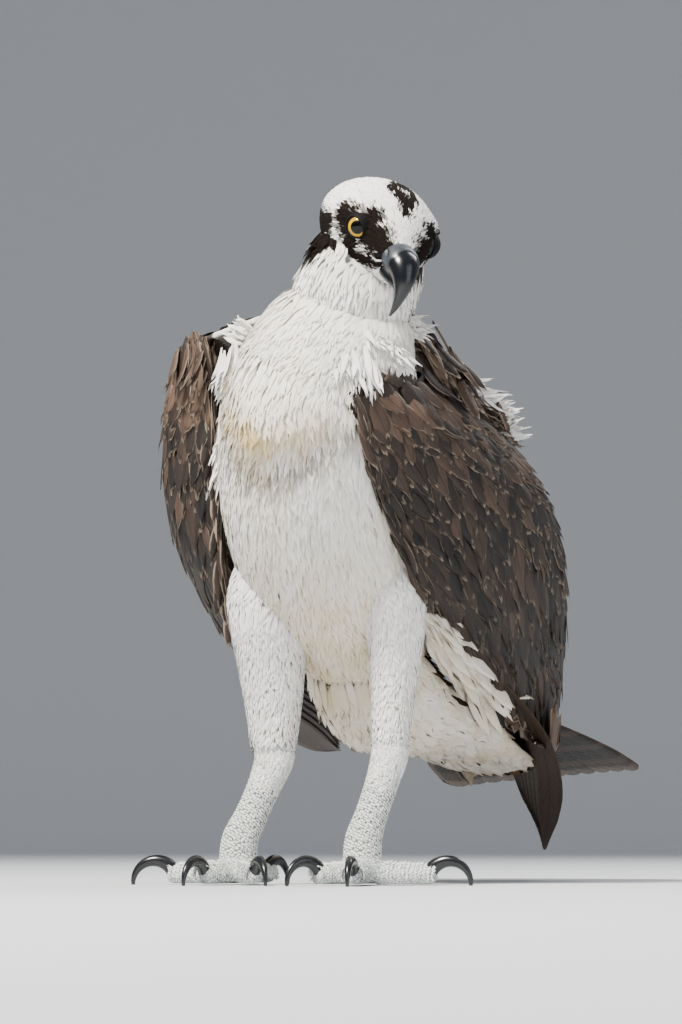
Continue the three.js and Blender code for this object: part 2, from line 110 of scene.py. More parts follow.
# A row of a tube: x, y and z of its middle, half width, reach to the belly, reach to the back.
TRUNK = [
    [34, -41, 336, 25, 18, 18],
    [30, -41, 322, 39, 30, 28],
    [20, -38, 296, 50, 41, 38],
    [9, -32, 266, 55, 50, 47],
    [2, -16, 228, 58, 51, 54],
    [0, 6, 190, 56, 47, 54],
    [0, 34, 160, 49, 40, 46],
    [0, 62, 140, 38, 33, 36],
    [4, 92, 128, 26, 24, 22],
]
NECK = [
    [28, -41, 314, 32, 26, 25],
    [34, -42, 331, 34.5, 30, 31],
    [41, -41, 347, 33, 30, 31],
    [47, -40, 365, 30, 26, 28],
]
VENT = [
    [-2, 44, 146, 33, 30, 34],
    [1, 84, 113, 37, 35, 31],
    [9, 130, 98, 36, 21, 22],
    [18, 176, 84, 34, 10, 14],
    [26, 222, 71, 26, 3.5, 5],
]
CROP = {"along": 0.31, "spread": 0.12, "crease": [0.36, 0.42], "bulge": 9, "turn": 0.35, "rise": 0.2}
SHANKS = {
    "left": [
        [36, -2, 190, 15, 16, 18],
        [38.5, 4, 166, 19.5, 20, 22],
        [39, 8, 148, 17.5, 18, 19],
        [38.5, 10, 127, 14.5, 15, 16],
        [37.5, 8, 101, 12, 12, 13],
        [37, 5, 79, 10.6, 10.6, 12],
    ],
    "right": [
        [-34, -4, 190, 17, 17, 18],
        [-36.5, 0, 167, 23.5, 22, 23],
        [-37, 2, 150, 22.5, 21, 21],
        [-36.5, 6, 127, 20, 18, 19],
        [-36, 8, 101, 16.5, 15, 16],
        [-35.5, 7, 77, 13, 12.5, 13.5],
    ],
}
TARSI = {
    "left": [
        [37, 5, 84, 10, 9.6, 11],
        [37, 5, 74, 10.4, 10, 11.5],
        [34, 0.5, 58, 9.3, 9.2, 9.6],
        [30, -5.5, 40, 9.2, 9, 9],
        [27, -10, 26, 10.4, 10.2, 9.6],
        [26.5, -11, 13, 11, 11, 9.6],
    ],
    "right": [
        [-35.5, 7, 82, 11.5, 11, 12],
        [-35, 7, 72, 11.4, 10.5, 11.5],
        [-39, 2.5, 57, 9.6, 9.4, 9.8],
        [-44.5, -3.5, 40, 9.3, 9.2, 9.2],
        [-49.5, -8, 26, 10.4, 10.2, 9.6],
        [-50.5, -9, 13, 11, 11, 9.6],
    ],
}
TOES = ("inner", "middle", "outer", "hind")
FEET = {
    "left": {
        "at": [26.5, -11, 12],
        "inner": [9.5, -40],
        "middle": [35.5, -49],
        "outer": [68.5, -4],
        "hind": [20.5, 20],
    },
    "right": {
        "at": [-50.5, -9, 12],
        "inner": [-26.5, -39],
        "middle": [-55.5, -49],
        "outer": [-88.5, -23],
        "hind": [-44.5, 23],
    },
}

# Skull: forward, half width, top, bottom, lift of the middle, from the nape on.
SKULL = [
    [-46, 6, 5, 8, -4],
    [-39, 18, 13, 18, -3],
    [-26, 28, 22, 26, -1],
    [-10, 31.5, 27, 28, 0],
    [4, 30.5, 27, 27, 0],
    [16, 26, 23, 23, 0],
    [26, 19, 17, 18.5, 0],
    [34, 13, 11, 16, -1.5],
    [39, 9.5, 7, 13, -2.5],
]
BROW = {"forward": 14, "length": 12, "angle": 62, "width": 20, "height": 3.2}

# A row of the bill: forward, up, half width, reach above, reach below.
UPPER_BILL = [
    [30, -1.5, 10, 8.6, 8],
    [38, -1, 10, 8.4, 8.5],
    [45, -2.5, 8.8, 7.8, 8.5],
    [51, -7, 6.2, 5.8, 7.2],
    [54.2, -13.5, 3.9, 4.2, 5],
    [54.4, -21, 2.1, 2.4, 2.8],
    [52.5, -28.5, 0.6, 0.7, 0.7],
]
LOWER_BILL = [
    [29, -9.5, 9.6, 6, 5],
    [37, -10.5, 8, 6, 4.4],
    [43, -11.5, 5.8, 5, 3.6],
    [47.5, -13, 3, 3, 2],
]

# %% Stations of the wings and the tail
# Each rail of a wing runs down it, from the arm to the tips of the secondaries.
# The rails go from the leading edge round to the back.
WINGS = {
    "left": [
        [[45, -76, 272], [50, -63, 238], [53, -36, 203], [59, -6, 170], [53, 50, 146], [55, 104, 119]],
        [[61, -64, 284], [78, -20, 242], [82, 15, 200], [81, 45, 161], [73, 88, 128], [60, 142, 98]],
        [[72, -8, 285], [94, 38, 238], [96, 72, 195], [91, 105, 151], [80, 142, 118], [66, 186, 86]],
        [[79, 52, 270], [99, 94, 228], [99, 128, 190], [90, 158, 146], [77, 187, 110], [61, 217, 80]],
        [[75, 106, 260], [82, 138, 220], [80, 165, 180], [71, 190, 140], [59, 212, 108], [46, 240, 86]],
        [[30, 62, 274], [30, 98, 230], [29, 132, 186], [27, 162, 147], [25, 188, 120], [23, 214, 100]],
    ],
    "right": [
        [[-60, -41, 304], [-57, -35, 264], [-58, -22, 226], [-61, -9, 190], [-63, 8, 161], [-62, 27, 141]],
        [[-77, -30, 314], [-94, -15, 272], [-101, 0, 230], [-98, 18, 191], [-90, 42, 159], [-82, 74, 132]],
        [[-90, 5, 310], [-105, 30, 263], [-107, 56, 219], [-104, 86, 176], [-98, 117, 143], [-92, 152, 116]],
        [
            [-93, 50, 297], [-108, 82, 254], [-110, 115, 212],
            [-108, 149, 171], [-104, 181, 138], [-98, 213, 112],
        ],
        [[-80, 88, 284], [-91, 120, 245], [-95, 152, 205], [-95, 183, 168], [-92, 209, 140], [-88, 236, 118]],
        [[-30, 60, 278], [-33, 96, 239], [-36, 130, 198], [-40, 162, 160], [-44, 190, 132], [-48, 215, 112]],
    ],
}
SIGN = {"left": 1, "right": -1}
WING_THICK = {"arm": 13, "tip": 3.2}
# A row of the folded primaries: x, y and z of their middle, half width of all of them.
PRIMARIES = {
    "left": [[64, 112, 122, 18], [60, 172, 98, 26], [50, 224, 72, 27], [38, 264, 46, 23], [30, 294, 22, 10]],
    "right": [
        [-90, 118, 122, 22], [-98, 180, 112, 26], [-104, 236, 102, 26],
        [-108, 278, 93, 22], [-110, 304, 88, 9],
    ],
}
TAIL = {
    "root": [6, 112, 121],
    "length": 196,
    "from": -7,
    "to": 24,
    "drop": 12,
    "droop": 16,
    "tilt": 10,
    "arch": 3,
    "feathers": 12,
}
# Where the mantle starts and ends: across the wing's top edge, down the trunk and round it,
# and how high it is crowned between them.
MANTLE = {
    "left": {"wing": (0.18, 1.0), "down": (0.10, 0.42), "round": (112, 172), "crown": 5},
    "right": {"wing": (0.25, 1.0), "down": (0.12, 0.42), "round": (-122, -172), "crown": 4},
}

# %% [markdown]
# ## Smooth surfaces from a few stations
#
# A Catmull-Rom curve passes through every row of a table, with a smooth bend
# between rows. All surfaces below are functions of two numbers: one down the
# part, one round it. Given whole arrays of numbers they return whole arrays of
# points, so thousands of feathers cost no more than a few lines.


# %% Small formulas
def unit(vectors):
    """Each vector over its own length."""
    return vectors / np.maximum(np.linalg.norm(vectors, axis=-1, keepdims=True), 1e-9)


def smoothstep(low, high, value):
    """0 below low, 1 above high, with a soft S between."""
    t = np.clip((value - low) / (high - low), 0, 1)
    return t * t * (3 - 2 * t)


def bell(value, middle, width):
    """1 at the middle, falling on both sides as exp(-((value - middle) / width)^2)."""
    return np.exp(-(((value - middle) / width) ** 2))


def between(ends, share):
    """The number that lies this share of the way from the first end to the second."""
    return ends[0] + (ends[1] - ends[0]) * share


def around(count):
    """Angles spread evenly over a full turn."""
    return np.arange(count) / count * 2 * math.pi


def each(value, n):
    """One number, or an array, as a number for each of n feathers."""
    return np.broadcast_to(np.asarray(value, float), (n,))


def catmull(a, b, d, e, f):
    """The curve between rows b and d, with a before and e after, at f from 0 to 1:
    b + f/2 (d - a + f (2a - 5b + 4d - e + f (3 (b - d) + e - a)))."""
    return b + 0.5 * f * (d - a + f * (2 * a - 5 * b + 4 * d - e + f * (3 * (b - d) + e - a)))


def spline(table, t):
    """The Catmull-Rom value of every column of the table, at t from 0 to 1 down its rows."""
    table = np.asarray(table, float)
    t = np.asarray(t, float)
    last = len(table) - 1
    i = np.clip(np.floor(t * last), 0, last - 1).astype(int)
    f = (t * last - i)[..., None]
    return catmull(*(table[np.clip(i + k, 0, last)] for k in (-1, 0, 1, 2)), f)


# %% Surface functions
def station_frame(stations, t):
    """The tube's row at t, and its side and front directions there."""
    ahead = spline(stations, np.minimum(t + 0.01, 1.0))[..., :3]
    behind = spline(stations, np.maximum(t - 0.01, 0.0))[..., :3]
    along = unit(ahead - behind)
    side = unit(np.array([1.0, 0, 0]) - along * along[..., :1])
    return spline(stations, t), side, np.cross(along, side)


def tube(stations, bulge=None):
    """A body part round its stations: an egg-shaped ring with its own belly and back reach.

    Point = middle + front cos(angle) reach + side sin(angle) half width. The angle is
    0 at the belly, a quarter turn at the bird's left and a half turn at its back.
    """

    def surface(t, angle):
        row, side, front = station_frame(stations, t)
        c, s = np.cos(angle), np.sin(angle)
        reach = np.where(c > 0, row[..., 4], row[..., 5])
        if bulge is not None:
            reach = reach + bulge(t, angle)
        return row[..., :3] + front * (c * reach)[..., None] + side * (s * row[..., 3])[..., None]

    return surface


def crop_front(angle):
    """1 on the middle line of the crop, falling to 0 a quarter turn to either side of it."""
    return np.maximum(0, np.cos(angle + CROP["turn"]))


def crop_line(t, angle):
    """How far down the trunk a point is, counted as if the crop's slanting crease were level."""
    return t + CROP["rise"] * (1 - crop_front(angle))


def crop_bulge(t, angle):
    """The full crop: a soft bag on the breast that swells slowly and ends in a crease.

    Above its middle it fades as a bell curve of the distance, below it drops in a soft step.
    """
    swell = bell(t, CROP["along"], CROP["spread"])
    drop = 1 - smoothstep(*CROP["crease"], crop_line(t, angle))
    return CROP["bulge"] * np.where(t < CROP["along"], swell, drop) * crop_front(angle) ** 2


def head_axes():
    """The head's forward, left and up directions, from its turn, bow and tilt."""
    yaw, pitch, roll = (math.radians(HEAD_TURN[k]) for k in ("yaw", "pitch", "roll"))
    flat = np.array([math.sin(yaw), -math.cos(yaw), 0])
    level = np.array([math.cos(yaw), math.sin(yaw), 0])
    z = np.array([0, 0, 1.0])
    upright = flat * math.sin(pitch) + z * math.cos(pitch)
    forward = flat * math.cos(pitch) - z * math.sin(pitch)
    left = level * math.cos(roll) - upright * math.sin(roll)
    up = upright * math.cos(roll) + level * math.sin(roll)
    return forward, left, up


FORWARD, LEFT, UP = head_axes()


def on_head(forward, left, up):
    """A point given in the head's own axes."""
    forward, left, up = (np.asarray(k, float)[..., None] for k in (forward, left, up))
    return HEAD_AT + FORWARD * forward + LEFT * left + UP * up


def skull(t, angle):
    """The feathered head. The angle is 0 on the crown and a quarter turn at its left."""
    row = spline(SKULL, t)
    c, s = np.cos(angle), np.sin(angle)
    away = np.degrees(np.arccos(np.clip(c, -1, 1))) - BROW["angle"]
    near = ((row[..., 0] - BROW["forward"]) / BROW["length"]) ** 2 + (away / BROW["width"]) ** 2
    r = 1 + BROW["height"] * np.exp(-near) / 24
    high = np.where(c > 0, row[..., 2], row[..., 3])
    return on_head(row[..., 0], s * row[..., 1] * r, row[..., 4] + c * high * r)


def wing(side):
    """A wing's cape as a function of how far down it is and how far round to the back."""
    rails = np.array(WINGS[side], float)
    last = len(rails) - 1

    def surface(down, across):
        down, across = np.broadcast_arrays(np.asarray(down, float), np.asarray(across, float))
        at = np.stack([spline(rail, down) for rail in rails])
        i = np.clip(np.floor(across * last), 0, last - 1).astype(int)
        f = (across * last - i)[..., None]
        rows = (np.clip(i + k, 0, last)[None, ..., None] for k in (-1, 0, 1, 2))
        return catmull(*(np.take_along_axis(at, row, 0)[0] for row in rows), f)

    return surface


def wing_thick(down):
    """A wing's thickness: that of the arm at its top, thinning to that of the tips."""
    return between((WING_THICK["tip"], WING_THICK["arm"]), np.clip(1 - down, 0, 1) ** 1.5)


def under_wing(side):
    """The inner side of a wing: the outer side moved in by the wing's thickness."""
    outer = wing(side)

    def surface(down, across):
        return outer(down, across) - outward(outer, down, across, SIGN[side]) * wing_thick(down)[..., None]

    return surface


def mantle(side):
    """The cover between the back and the top of a wing.

    a runs from the shoulder backwards and b from the trunk's back out to the wing's top edge.
    The two edges are joined by straight lines, lifted between them by crown sin(pi b).
    """
    cape, plan = wing(side), MANTLE[side]

    def surface(a, b):
        a, b = np.broadcast_arrays(np.asarray(a, float), np.asarray(b, float))
        outer = cape(0.015 + 0 * a, between(plan["wing"], a))
        inner = trunk(between(plan["down"], a), np.radians(between(plan["round"], a)))
        swell = 0.3 + 0.7 * np.sin(math.pi * np.clip(a, 0, 1))
        lift = plan["crown"] * np.sin(math.pi * np.clip(b, 0, 1)) * swell
        return inner + (outer - inner) * b[..., None] + np.array([0, 0.2, 1.0]) * lift[..., None]

    return surface


def toe_line(side, toe):
    """Where a toe starts, under the leg, where it ends, and the ways along and across it."""
    start, end = (np.array([*FEET[side][key][:2], 0.0]) for key in ("at", toe))
    way = unit(end - start)
    return start, end, way, np.array([-way[1], way[0], 0])


TOE_RADIUS, SOLE = 6.6, 0.9


def toe_radius(t):
    """A toe's radius, swelling by a tenth at three soft pads."""
    return TOE_RADIUS * (1.04 - 0.16 * t + 0.09 * np.cos(t * 2 * math.pi * 2.5) ** 2)


def toe_height(t):
    """The height of a toe's middle."""
    return TOE_RADIUS * (1.12 - 0.2 * t) - 0.4


def toe_surface(side, toe):
    """The toe's skin as a function of how far along and how far round it is."""
    start, end, _, across = toe_line(side, toe)

    def surface(t, angle):
        radius = toe_radius(t)
        height = toe_height(t) + radius * np.cos(angle)
        flat = start + (end - start) * t[..., None] + across * (radius * np.sin(angle))[..., None]
        return flat * [1, 1, 0] + np.array([0, 0, 1.0]) * np.maximum(height, SOLE + 0.4)[..., None]

    return surface


SLOPE_STEP = 2e-3


def slopes(surface, u, v):
    """How far the point moves while u, and then v, goes one step back to one step on."""
    du = surface(u + SLOPE_STEP, v) - surface(u - SLOPE_STEP, v)
    dv = surface(u, v + SLOPE_STEP) - surface(u, v - SLOPE_STEP)
    return du, dv


def outward(surface, u, v, turn=1.0):
    """Unit normals: the cross product of the surface's two slopes."""
    return unit(np.cross(*slopes(surface, u, v))) * turn


trunk, neck, vent = tube(TRUNK, crop_bulge), tube(NECK), tube(VENT)
print("head looks", np.round(FORWARD, 2), "crown", np.round(skull(0.45, 0.0), 1))

# %% [markdown]
# ## From millimetres to the frame
#
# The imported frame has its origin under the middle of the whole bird, while the
# stations are measured from between the feet. The left eye is a ball in both, so
# the difference between its two centres is the shift from one to the other.


# %% The shift to the frame
def eye_point(sign):
    """The middle of an eye: sign 1 for the left one, -1 for the right one."""
    return on_head(EYE["forward"], sign * EYE["side"], EYE["up"])


low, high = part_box("eye_left")
SHIFT = (np.array(low) + np.array(high)) * 500 - eye_point(1)


def metres(points):
    """Millimetres of the bird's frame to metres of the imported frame."""
    return (np.asarray(points, float) + SHIFT) * 0.001


print("shift in millimetres", np.round(SHIFT, 2))

# %% [markdown]
# ## Camera, floor and light
#
# The photograph looks up a little at the bird from ahead and to its left, from
# far away with a long lens, so the camera stands 2 metres off at the height of
# the feet. The floor is plain, pale and round, and far out it bends up into a wall
# on every side, so that all views have one background. The sun of the photograph
# comes from high on the left of the picture: a key light stands there, with a weak
# fill opposite and a rim light behind.

# %% Camera
AZIMUTH, DISTANCE, EYE_LEVEL = 22.0, 2000.0, 26.0
PITCH, YAW, LENS = 5.338, 0.2455, 123.05


def place_camera():
    """A camera at the photograph's angle, aimed by its pitch and its small turn to the right."""
    a, p, y = (math.radians(k) for k in (AZIMUTH, PITCH, YAW))
    right = Vector((math.cos(a), math.sin(a), 0))
    away = Vector((-math.sin(a), math.cos(a), 0))
    level = away * math.cos(y) + right * math.sin(y)
    look = level * math.cos(p) + Vector((0, 0, 1)) * math.sin(p)
    data = bpy.data.cameras.new("camera")
    data.lens, data.sensor_width, data.sensor_fit = LENS, 36.0, "AUTO"
    data.clip_end = 50
    camera = bpy.data.objects.new("camera", data)
    bpy.context.scene.collection.objects.link(camera)
    camera.location = Vector(metres(np.array(-away * DISTANCE) + [0, 0, EYE_LEVEL]))
    camera.rotation_euler = look.to_track_quat("-Z", "Y").to_euler()
    bpy.context.scene.camera = camera
    return camera


print("camera at", [round(c, 3) for c in place_camera().location])


# %% Paint helpers
def srgb(code):
    """A hex colour as the linear colour that shaders use."""
    parts = [int(code[i : i + 2], 16) / 255 for i in (1, 3, 5)]
    return [c / 12.92 if c <= 0.04045 else ((c + 0.055) / 1.055) ** 2.4 for c in parts] + [1.0]


def new_material(name):
    """An empty node material and its Principled shader."""
    material = bpy.data.materials.new(name)
    material.use_nodes = True
    return material, material.node_tree.nodes["Principled BSDF"]


def wire(made, values):
    """Gives inputs of a node, by name or number, a socket to link from or a plain value."""
    for key, value in values.items():
        if isinstance(value, bpy.types.NodeSocket):
            made.id_data.links.new(value, made.inputs[key])
        else:
            made.inputs[key].default_value = value


def node(material, kind, values, out=0, stops=(), **settings):
    """Adds one node with its settings and links, and returns one of its outputs.

    The settings are the node's own properties, stops are the places and colours of a ramp,
    and values are what its inputs are linked to or set to.
    """
    made = material.node_tree.nodes.new("ShaderNode" + kind)
    for key, value in settings.items():
        setattr(made, key, value)
    for _ in stops[2:]:
        made.color_ramp.elements.new(0.5)
    for k, (place, code) in enumerate(stops):
        made.color_ramp.elements[k].position = place
        made.color_ramp.elements[k].color = srgb(code)
    wire(made, values)
    return made.outputs[out]


# %% Mesh helpers
def grid_mesh(name, points, wrap=False, ends=False):
    """A mesh over a grid of points (rows, columns, 3), in metres. wrap joins the last column
    to the first, and ends closes the first and the last row with a fan round its middle."""
    rows, cols = points.shape[:2]
    index = np.arange(rows * cols).reshape(rows, cols)
    right = np.roll(index, -1, 1) if wrap else index[:, 1:]
    left = index if wrap else index[:, :-1]
    faces = np.stack([left[:-1], right[:-1], right[1:], left[1:]], -1).reshape(-1, 4).tolist()
    flat = points.reshape(-1, 3)
    if ends:
        flat = np.vstack([flat, points[0].mean(0), points[-1].mean(0)])
        top, bottom = rows * cols, rows * cols + 1
        faces += [[top, b, a] for a, b in zip(index[0], np.roll(index[0], -1))]
        faces += [[bottom, a, b] for a, b in zip(index[-1], np.roll(index[-1], -1))]
    mesh = bpy.data.meshes.new(name)
    mesh.from_pydata(flat.tolist(), [], faces)
    mesh.update()
    return mesh


def add_object(name, mesh):
    """Links a mesh to the scene as a smooth object at the origin."""
    made = bpy.data.objects.new(name, mesh)
    bpy.context.scene.collection.objects.link(made)
    mesh.polygons.foreach_set("use_smooth", np.full(len(mesh.polygons), True))
    return made


def store(mesh, key, values):
    """Keeps a number at each point of the mesh, for its material to read."""
    mesh.attributes.new(key, "FLOAT", "POINT").data.foreach_set("value", values.astype(np.float32))


def piece(name, mesh, material, replaced=()):
    """A finished piece of the bird: painted, on its one body, in place of these nodes."""
    made = add_object(name, mesh)
    mesh.materials.append(material)
    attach(made, "root")
    if replaced:
        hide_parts(*replaced)
    return made


def merge_and_orient(mesh):
    """Joins points that lie on each other and turns all faces outwards."""
    work = bmesh.new()
    work.from_mesh(mesh)
    bmesh.ops.remove_doubles(work, verts=work.verts, dist=1e-7)
    bmesh.ops.recalc_face_normals(work, faces=work.faces)
    work.to_mesh(mesh)
    work.free()
    mesh.update()


# %% Stage and light
FLOOR = {"flat": 4.5, "bend": 2.5, "wall": 7.0}  # metres


def floor_points():
    """A round floor that bends up into a wall: its profile is level to the flat radius, then
    a quarter circle, then upright, and is turned about the upright axis."""
    turn = np.linspace(0, math.pi / 2, 16)
    edge = FLOOR["flat"] + FLOOR["bend"]
    reach = np.concatenate([[0, 1.5], FLOOR["flat"] + FLOOR["bend"] * np.sin(turn), [edge]])[:, None]
    high = np.concatenate([[0, 0], FLOOR["bend"] * (1 - np.cos(turn)), [FLOOR["wall"]]])[:, None]
    angle = around(72)
    return np.stack([reach * np.cos(angle), reach * np.sin(angle), high + 0 * angle], -1)


floor = add_object("floor", grid_mesh("floor", floor_points(), wrap=True))
stage_paint, shader = new_material("pale studio floor")
wire(shader, {"Base Color": srgb("#c9ccd0"), "Roughness": 0.9})
floor.data.materials.append(stage_paint)
floor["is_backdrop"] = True

# Each light: azimuth and elevation, distance and size in metres, watts, colour.
LIGHTS = {
    "key": (-14, 50, 2.4, 0.5, 190, (1.0, 0.96, 0.89)),
    "fill": (70, 15, 2.6, 1.8, 20, (0.90, 0.95, 1.0)),
    "rim": (165, 45, 2.4, 1.2, 40, (1.0, 0.98, 0.95)),
}


def area_light(name, azimuth, elevation, distance, size, power, colour):
    """A square soft light, aimed at the middle of the bird."""
    target = Vector(metres([10, 40, 200]))
    a, e = math.radians(azimuth), math.radians(elevation)
    way = Vector((math.sin(a) * math.cos(e), -math.cos(a) * math.cos(e), math.sin(e)))
    data = bpy.data.lights.new(name, "AREA")
    data.energy, data.size, data.color = power, size, colour
    lamp = bpy.data.objects.new(name, data)
    bpy.context.scene.collection.objects.link(lamp)
    lamp.location = target + way * distance
    lamp.rotation_euler = (-way).to_track_quat("-Z", "Y").to_euler()


for name, plan in LIGHTS.items():
    area_light(name, *plan)
world = bpy.data.worlds.new("studio")
bpy.context.scene.world = world
world.use_nodes = True
wire(world.node_tree.nodes["Background"], {"Color": srgb("#dfe6f0"), "Strength": 0.45})
print("stage ready")

# %% [markdown]
# ## The skin
#
# Under its feathers the bird is one smooth body. The same surfaces as above, drawn
# in by the depth of the coat, are joined and melted into one mesh with a voxel
# remesh, so that no seam shows between neck, trunk and legs. The toes and the
# scaly part of the legs are nearly at full size, because they are bare.

# %% Lofts of the skin
COAT = {"trunk": 4.5, "neck": 4.0, "head": 2.8, "vent": 4.5, "shank": 2.4, "foot": 0.5, "wing": 2.0}
FOOT_PAD = {"radius": 13, "height": 9, "drop": 2}


def lofted(surface, depth, rows=40, cols=40):
    """A closed loft: the surface on a grid, moved in along its normal by the coat's depth."""
    t, angle = np.meshgrid(np.linspace(0, 1, rows), around(cols), indexing="ij")
    return surface(t, angle) - outward(surface, t, angle) * depth


def toe_rings(side, toe, cols=20, rows=26):
    """A toe lying on the floor from the foot to its claw: a ring at each step along it, closing
    at its end, and cut level below at the height of the sole."""
    t = np.linspace(0, 1, rows)[:, None]
    angle = around(cols)[None, :]
    start, end, _, across = toe_line(side, toe)
    closing = np.sqrt(np.clip(1 - np.clip((t - 0.93) / 0.07, 0, 1) ** 2 * 0.8, 0.05, 1))
    radius = toe_radius(t) * closing
    middle = start + (end - start) * t
    z = np.maximum(toe_height(t) + radius * np.cos(angle), SOLE + 0 * angle)
    flat = middle[:, None, :2] + across[None, None, :2] * (radius * np.sin(angle))[..., None]
    return np.dstack([flat, z])


def foot_pad(side):
    """The ball of the foot: a flattened sphere, cut level at the height of the sole."""
    t = np.linspace(0, math.pi, 16)[:, None]
    angle = around(24)[None, :]
    ring = np.sin(t) * np.cos(angle), np.sin(t) * np.sin(angle)
    pad = np.dstack([*(k * FOOT_PAD["radius"] for k in ring), np.cos(t) * FOOT_PAD["height"] + 0 * angle])
    pad = pad + np.array(FEET[side]["at"], float) - [0, 0, FOOT_PAD["drop"]]
    pad[..., 2] = np.maximum(pad[..., 2], SOLE)
    return pad


def wing_core(side, rows=40, cols=40):
    """The arm and hand under the feathers: a thin closed slab inside the wing's cape."""
    surface = wing(side)
    down, across = np.meshgrid(np.linspace(0.03, 0.8, rows), np.linspace(0.04, 0.96, cols), indexing="ij")
    normal = outward(surface, down, across, SIGN[side])
    thick = wing_thick(down)
    rim = np.sqrt(np.clip(1 - (np.clip(np.abs(2 * across - 1) - 0.8, 0, 1) / 0.2) ** 2, 0.05, 1))
    rim = rim * np.sqrt(np.clip(1 - (np.clip(0.12 - down, 0, 1) / 0.12) ** 2, 0.05, 1))
    middle = surface(down, across) - normal * (thick / 2)[..., None]
    half = np.maximum(thick / 2 - COAT["wing"], 1.3) * rim
    outer, inner = (middle + normal * (half * way)[..., None] for way in (1, -1))
    ring = np.concatenate([outer, inner[:, ::-1]], 1)
    return ring if SIGN[side] < 0 else ring[:, ::-1]


def mantle_core(side):
    """A thin closed slab just under the mantle."""
    a, b = np.meshgrid(np.linspace(0, 1, 40), np.linspace(-0.08, 1.0, 30), indexing="ij")
    top = mantle(side)(a, b) - [0, 0.5, 2.0]
    return np.concatenate([top, top[:, ::-1] - [0, 1.0, 4.5]], 1)


def skin_lofts():
    """Every part of the body under its coat."""
    parts = [lofted(trunk, COAT["trunk"], 70, 60), lofted(neck, COAT["neck"]), lofted(vent, COAT["vent"])]
    parts.append(lofted(skull, COAT["head"], 60, 60))
    for side in SIGN:
        parts.append(lofted(tube(SHANKS[side]), COAT["shank"]))
        parts.append(lofted(tube(TARSI[side]), COAT["foot"]))
        parts += [wing_core(side), mantle_core(side)]
        parts += [toe_rings(side, toe) for toe in TOES]
        parts.append(foot_pad(side))
    return parts


# %% Skin
VOXEL, THINNED = 0.0018, 0.65


def melt(parts):
    """All the lofts in one mesh, remeshed into one closed surface, smoothed and thinned."""
    for other in bpy.context.scene.objects:
        other.select_set(False)
    for i, points in enumerate(parts):
        made = add_object("skin_%d" % i, grid_mesh("skin_%d" % i, metres(points), wrap=True, ends=True))
        made.select_set(True)
        bpy.context.view_layer.objects.active = made
    bpy.ops.object.join()
    skin = bpy.context.view_layer.objects.active
    skin.name = skin.data.name = "skin"
    bpy.ops.object.mode_set(mode="EDIT")
    bpy.ops.mesh.select_all(action="SELECT")
    bpy.ops.mesh.normals_make_consistent(inside=False)
    bpy.ops.object.mode_set(mode="OBJECT")
    remesh = skin.modifiers.new("melt", "REMESH")
    remesh.mode, remesh.voxel_size = "VOXEL", VOXEL
    smooth = skin.modifiers.new("soften", "SMOOTH")
    smooth.factor, smooth.iterations = 0.5, 4
    skin.modifiers.new("thin", "DECIMATE").ratio = THINNED
    for name in ("melt", "soften", "thin"):
        bpy.ops.object.modifier_apply(modifier=name)
    skin.data.polygons.foreach_set("use_smooth", np.full(len(skin.data.polygons), True))
    return skin


skin = melt(skin_lofts())
corners = [np.round(skin.bound_box[k], 3) for k in (0, 6)]
print("skin faces", len(skin.data.polygons), "from", corners[0], "to", corners[1])

# %% [markdown]
# ## One feather, and thousands
#
# A contour feather is a thin vane, rounded at its tip, that lies on the body like a
# roof tile. Particle hair could scatter such vanes, but only real mesh survives in
# an exported model. So one small grid, closed like a lens, is bent over the body's
# surface for every root at once: the surface function is asked where each corner
# of each feather lies, and the roots are sunk into the skin.


# %% Scatter
RANDOM = np.random.default_rng(11)
GOLDEN = (0.7548776662, 0.5698402910)
FULL_TURN, BOTH_WAYS = (0, 2 * math.pi), (-math.pi, math.pi)


def scatter(surface, count, size, u_range=(0, 1), v_range=FULL_TURN, cells=160):
    """Roots spread evenly over a surface, closer where the feathers are smaller.

    The weight of a cell is its area over the feather size squared. An even sequence
    of number pairs is bent by the running sum of the weights, first down the part
    and then round it. size takes (u, v) and gives millimetres.
    """
    u = np.linspace(*u_range, cells + 1)
    v = np.linspace(*v_range, cells + 1)
    mid_u, mid_v = np.meshgrid((u[1:] + u[:-1]) / 2, (v[1:] + v[:-1]) / 2, indexing="ij")
    step_u, step_v = (u[1] - u[0]) / 2, (v[1] - v[0]) / 2
    du = surface(mid_u + step_u, mid_v) - surface(mid_u - step_u, mid_v)
    dv = surface(mid_u, mid_v + step_v) - surface(mid_u, mid_v - step_v)
    weight = np.linalg.norm(np.cross(du, dv), axis=-1) / size(mid_u, mid_v) ** 2 + 1e-9
    rows = np.concatenate([[0], np.cumsum(weight.sum(1))])
    k = np.arange(1, count + 1)
    first, second = (k * GOLDEN[0]) % 1, (k * GOLDEN[1] + 0.37) % 1
    at_u = np.interp(first * rows[-1], rows, u)
    row = np.clip(((at_u - u[0]) / (u[1] - u[0])).astype(int), 0, cells - 1)
    running = np.concatenate([np.zeros((cells, 1)), np.cumsum(weight, 1)], 1)
    running = running / running[:, -1:]
    mine = running[row]
    cell = np.clip((mine < second[:, None]).sum(1) - 1, 0, cells - 1)
    low, high = mine[np.arange(count), cell], mine[np.arange(count), cell + 1]
    at_v = v[0] + (v[1] - v[0]) * (cell + (second - low) / np.maximum(high - low, 1e-9))
    return at_u, at_v


def tangents(surface, u, v, turn=1.0):
    """The point, both slopes and the outward normal."""
    du, dv = (k / (2 * SLOPE_STEP) for k in slopes(surface, u, v))
    return surface(u, v), du, dv, unit(np.cross(du, dv)) * turn


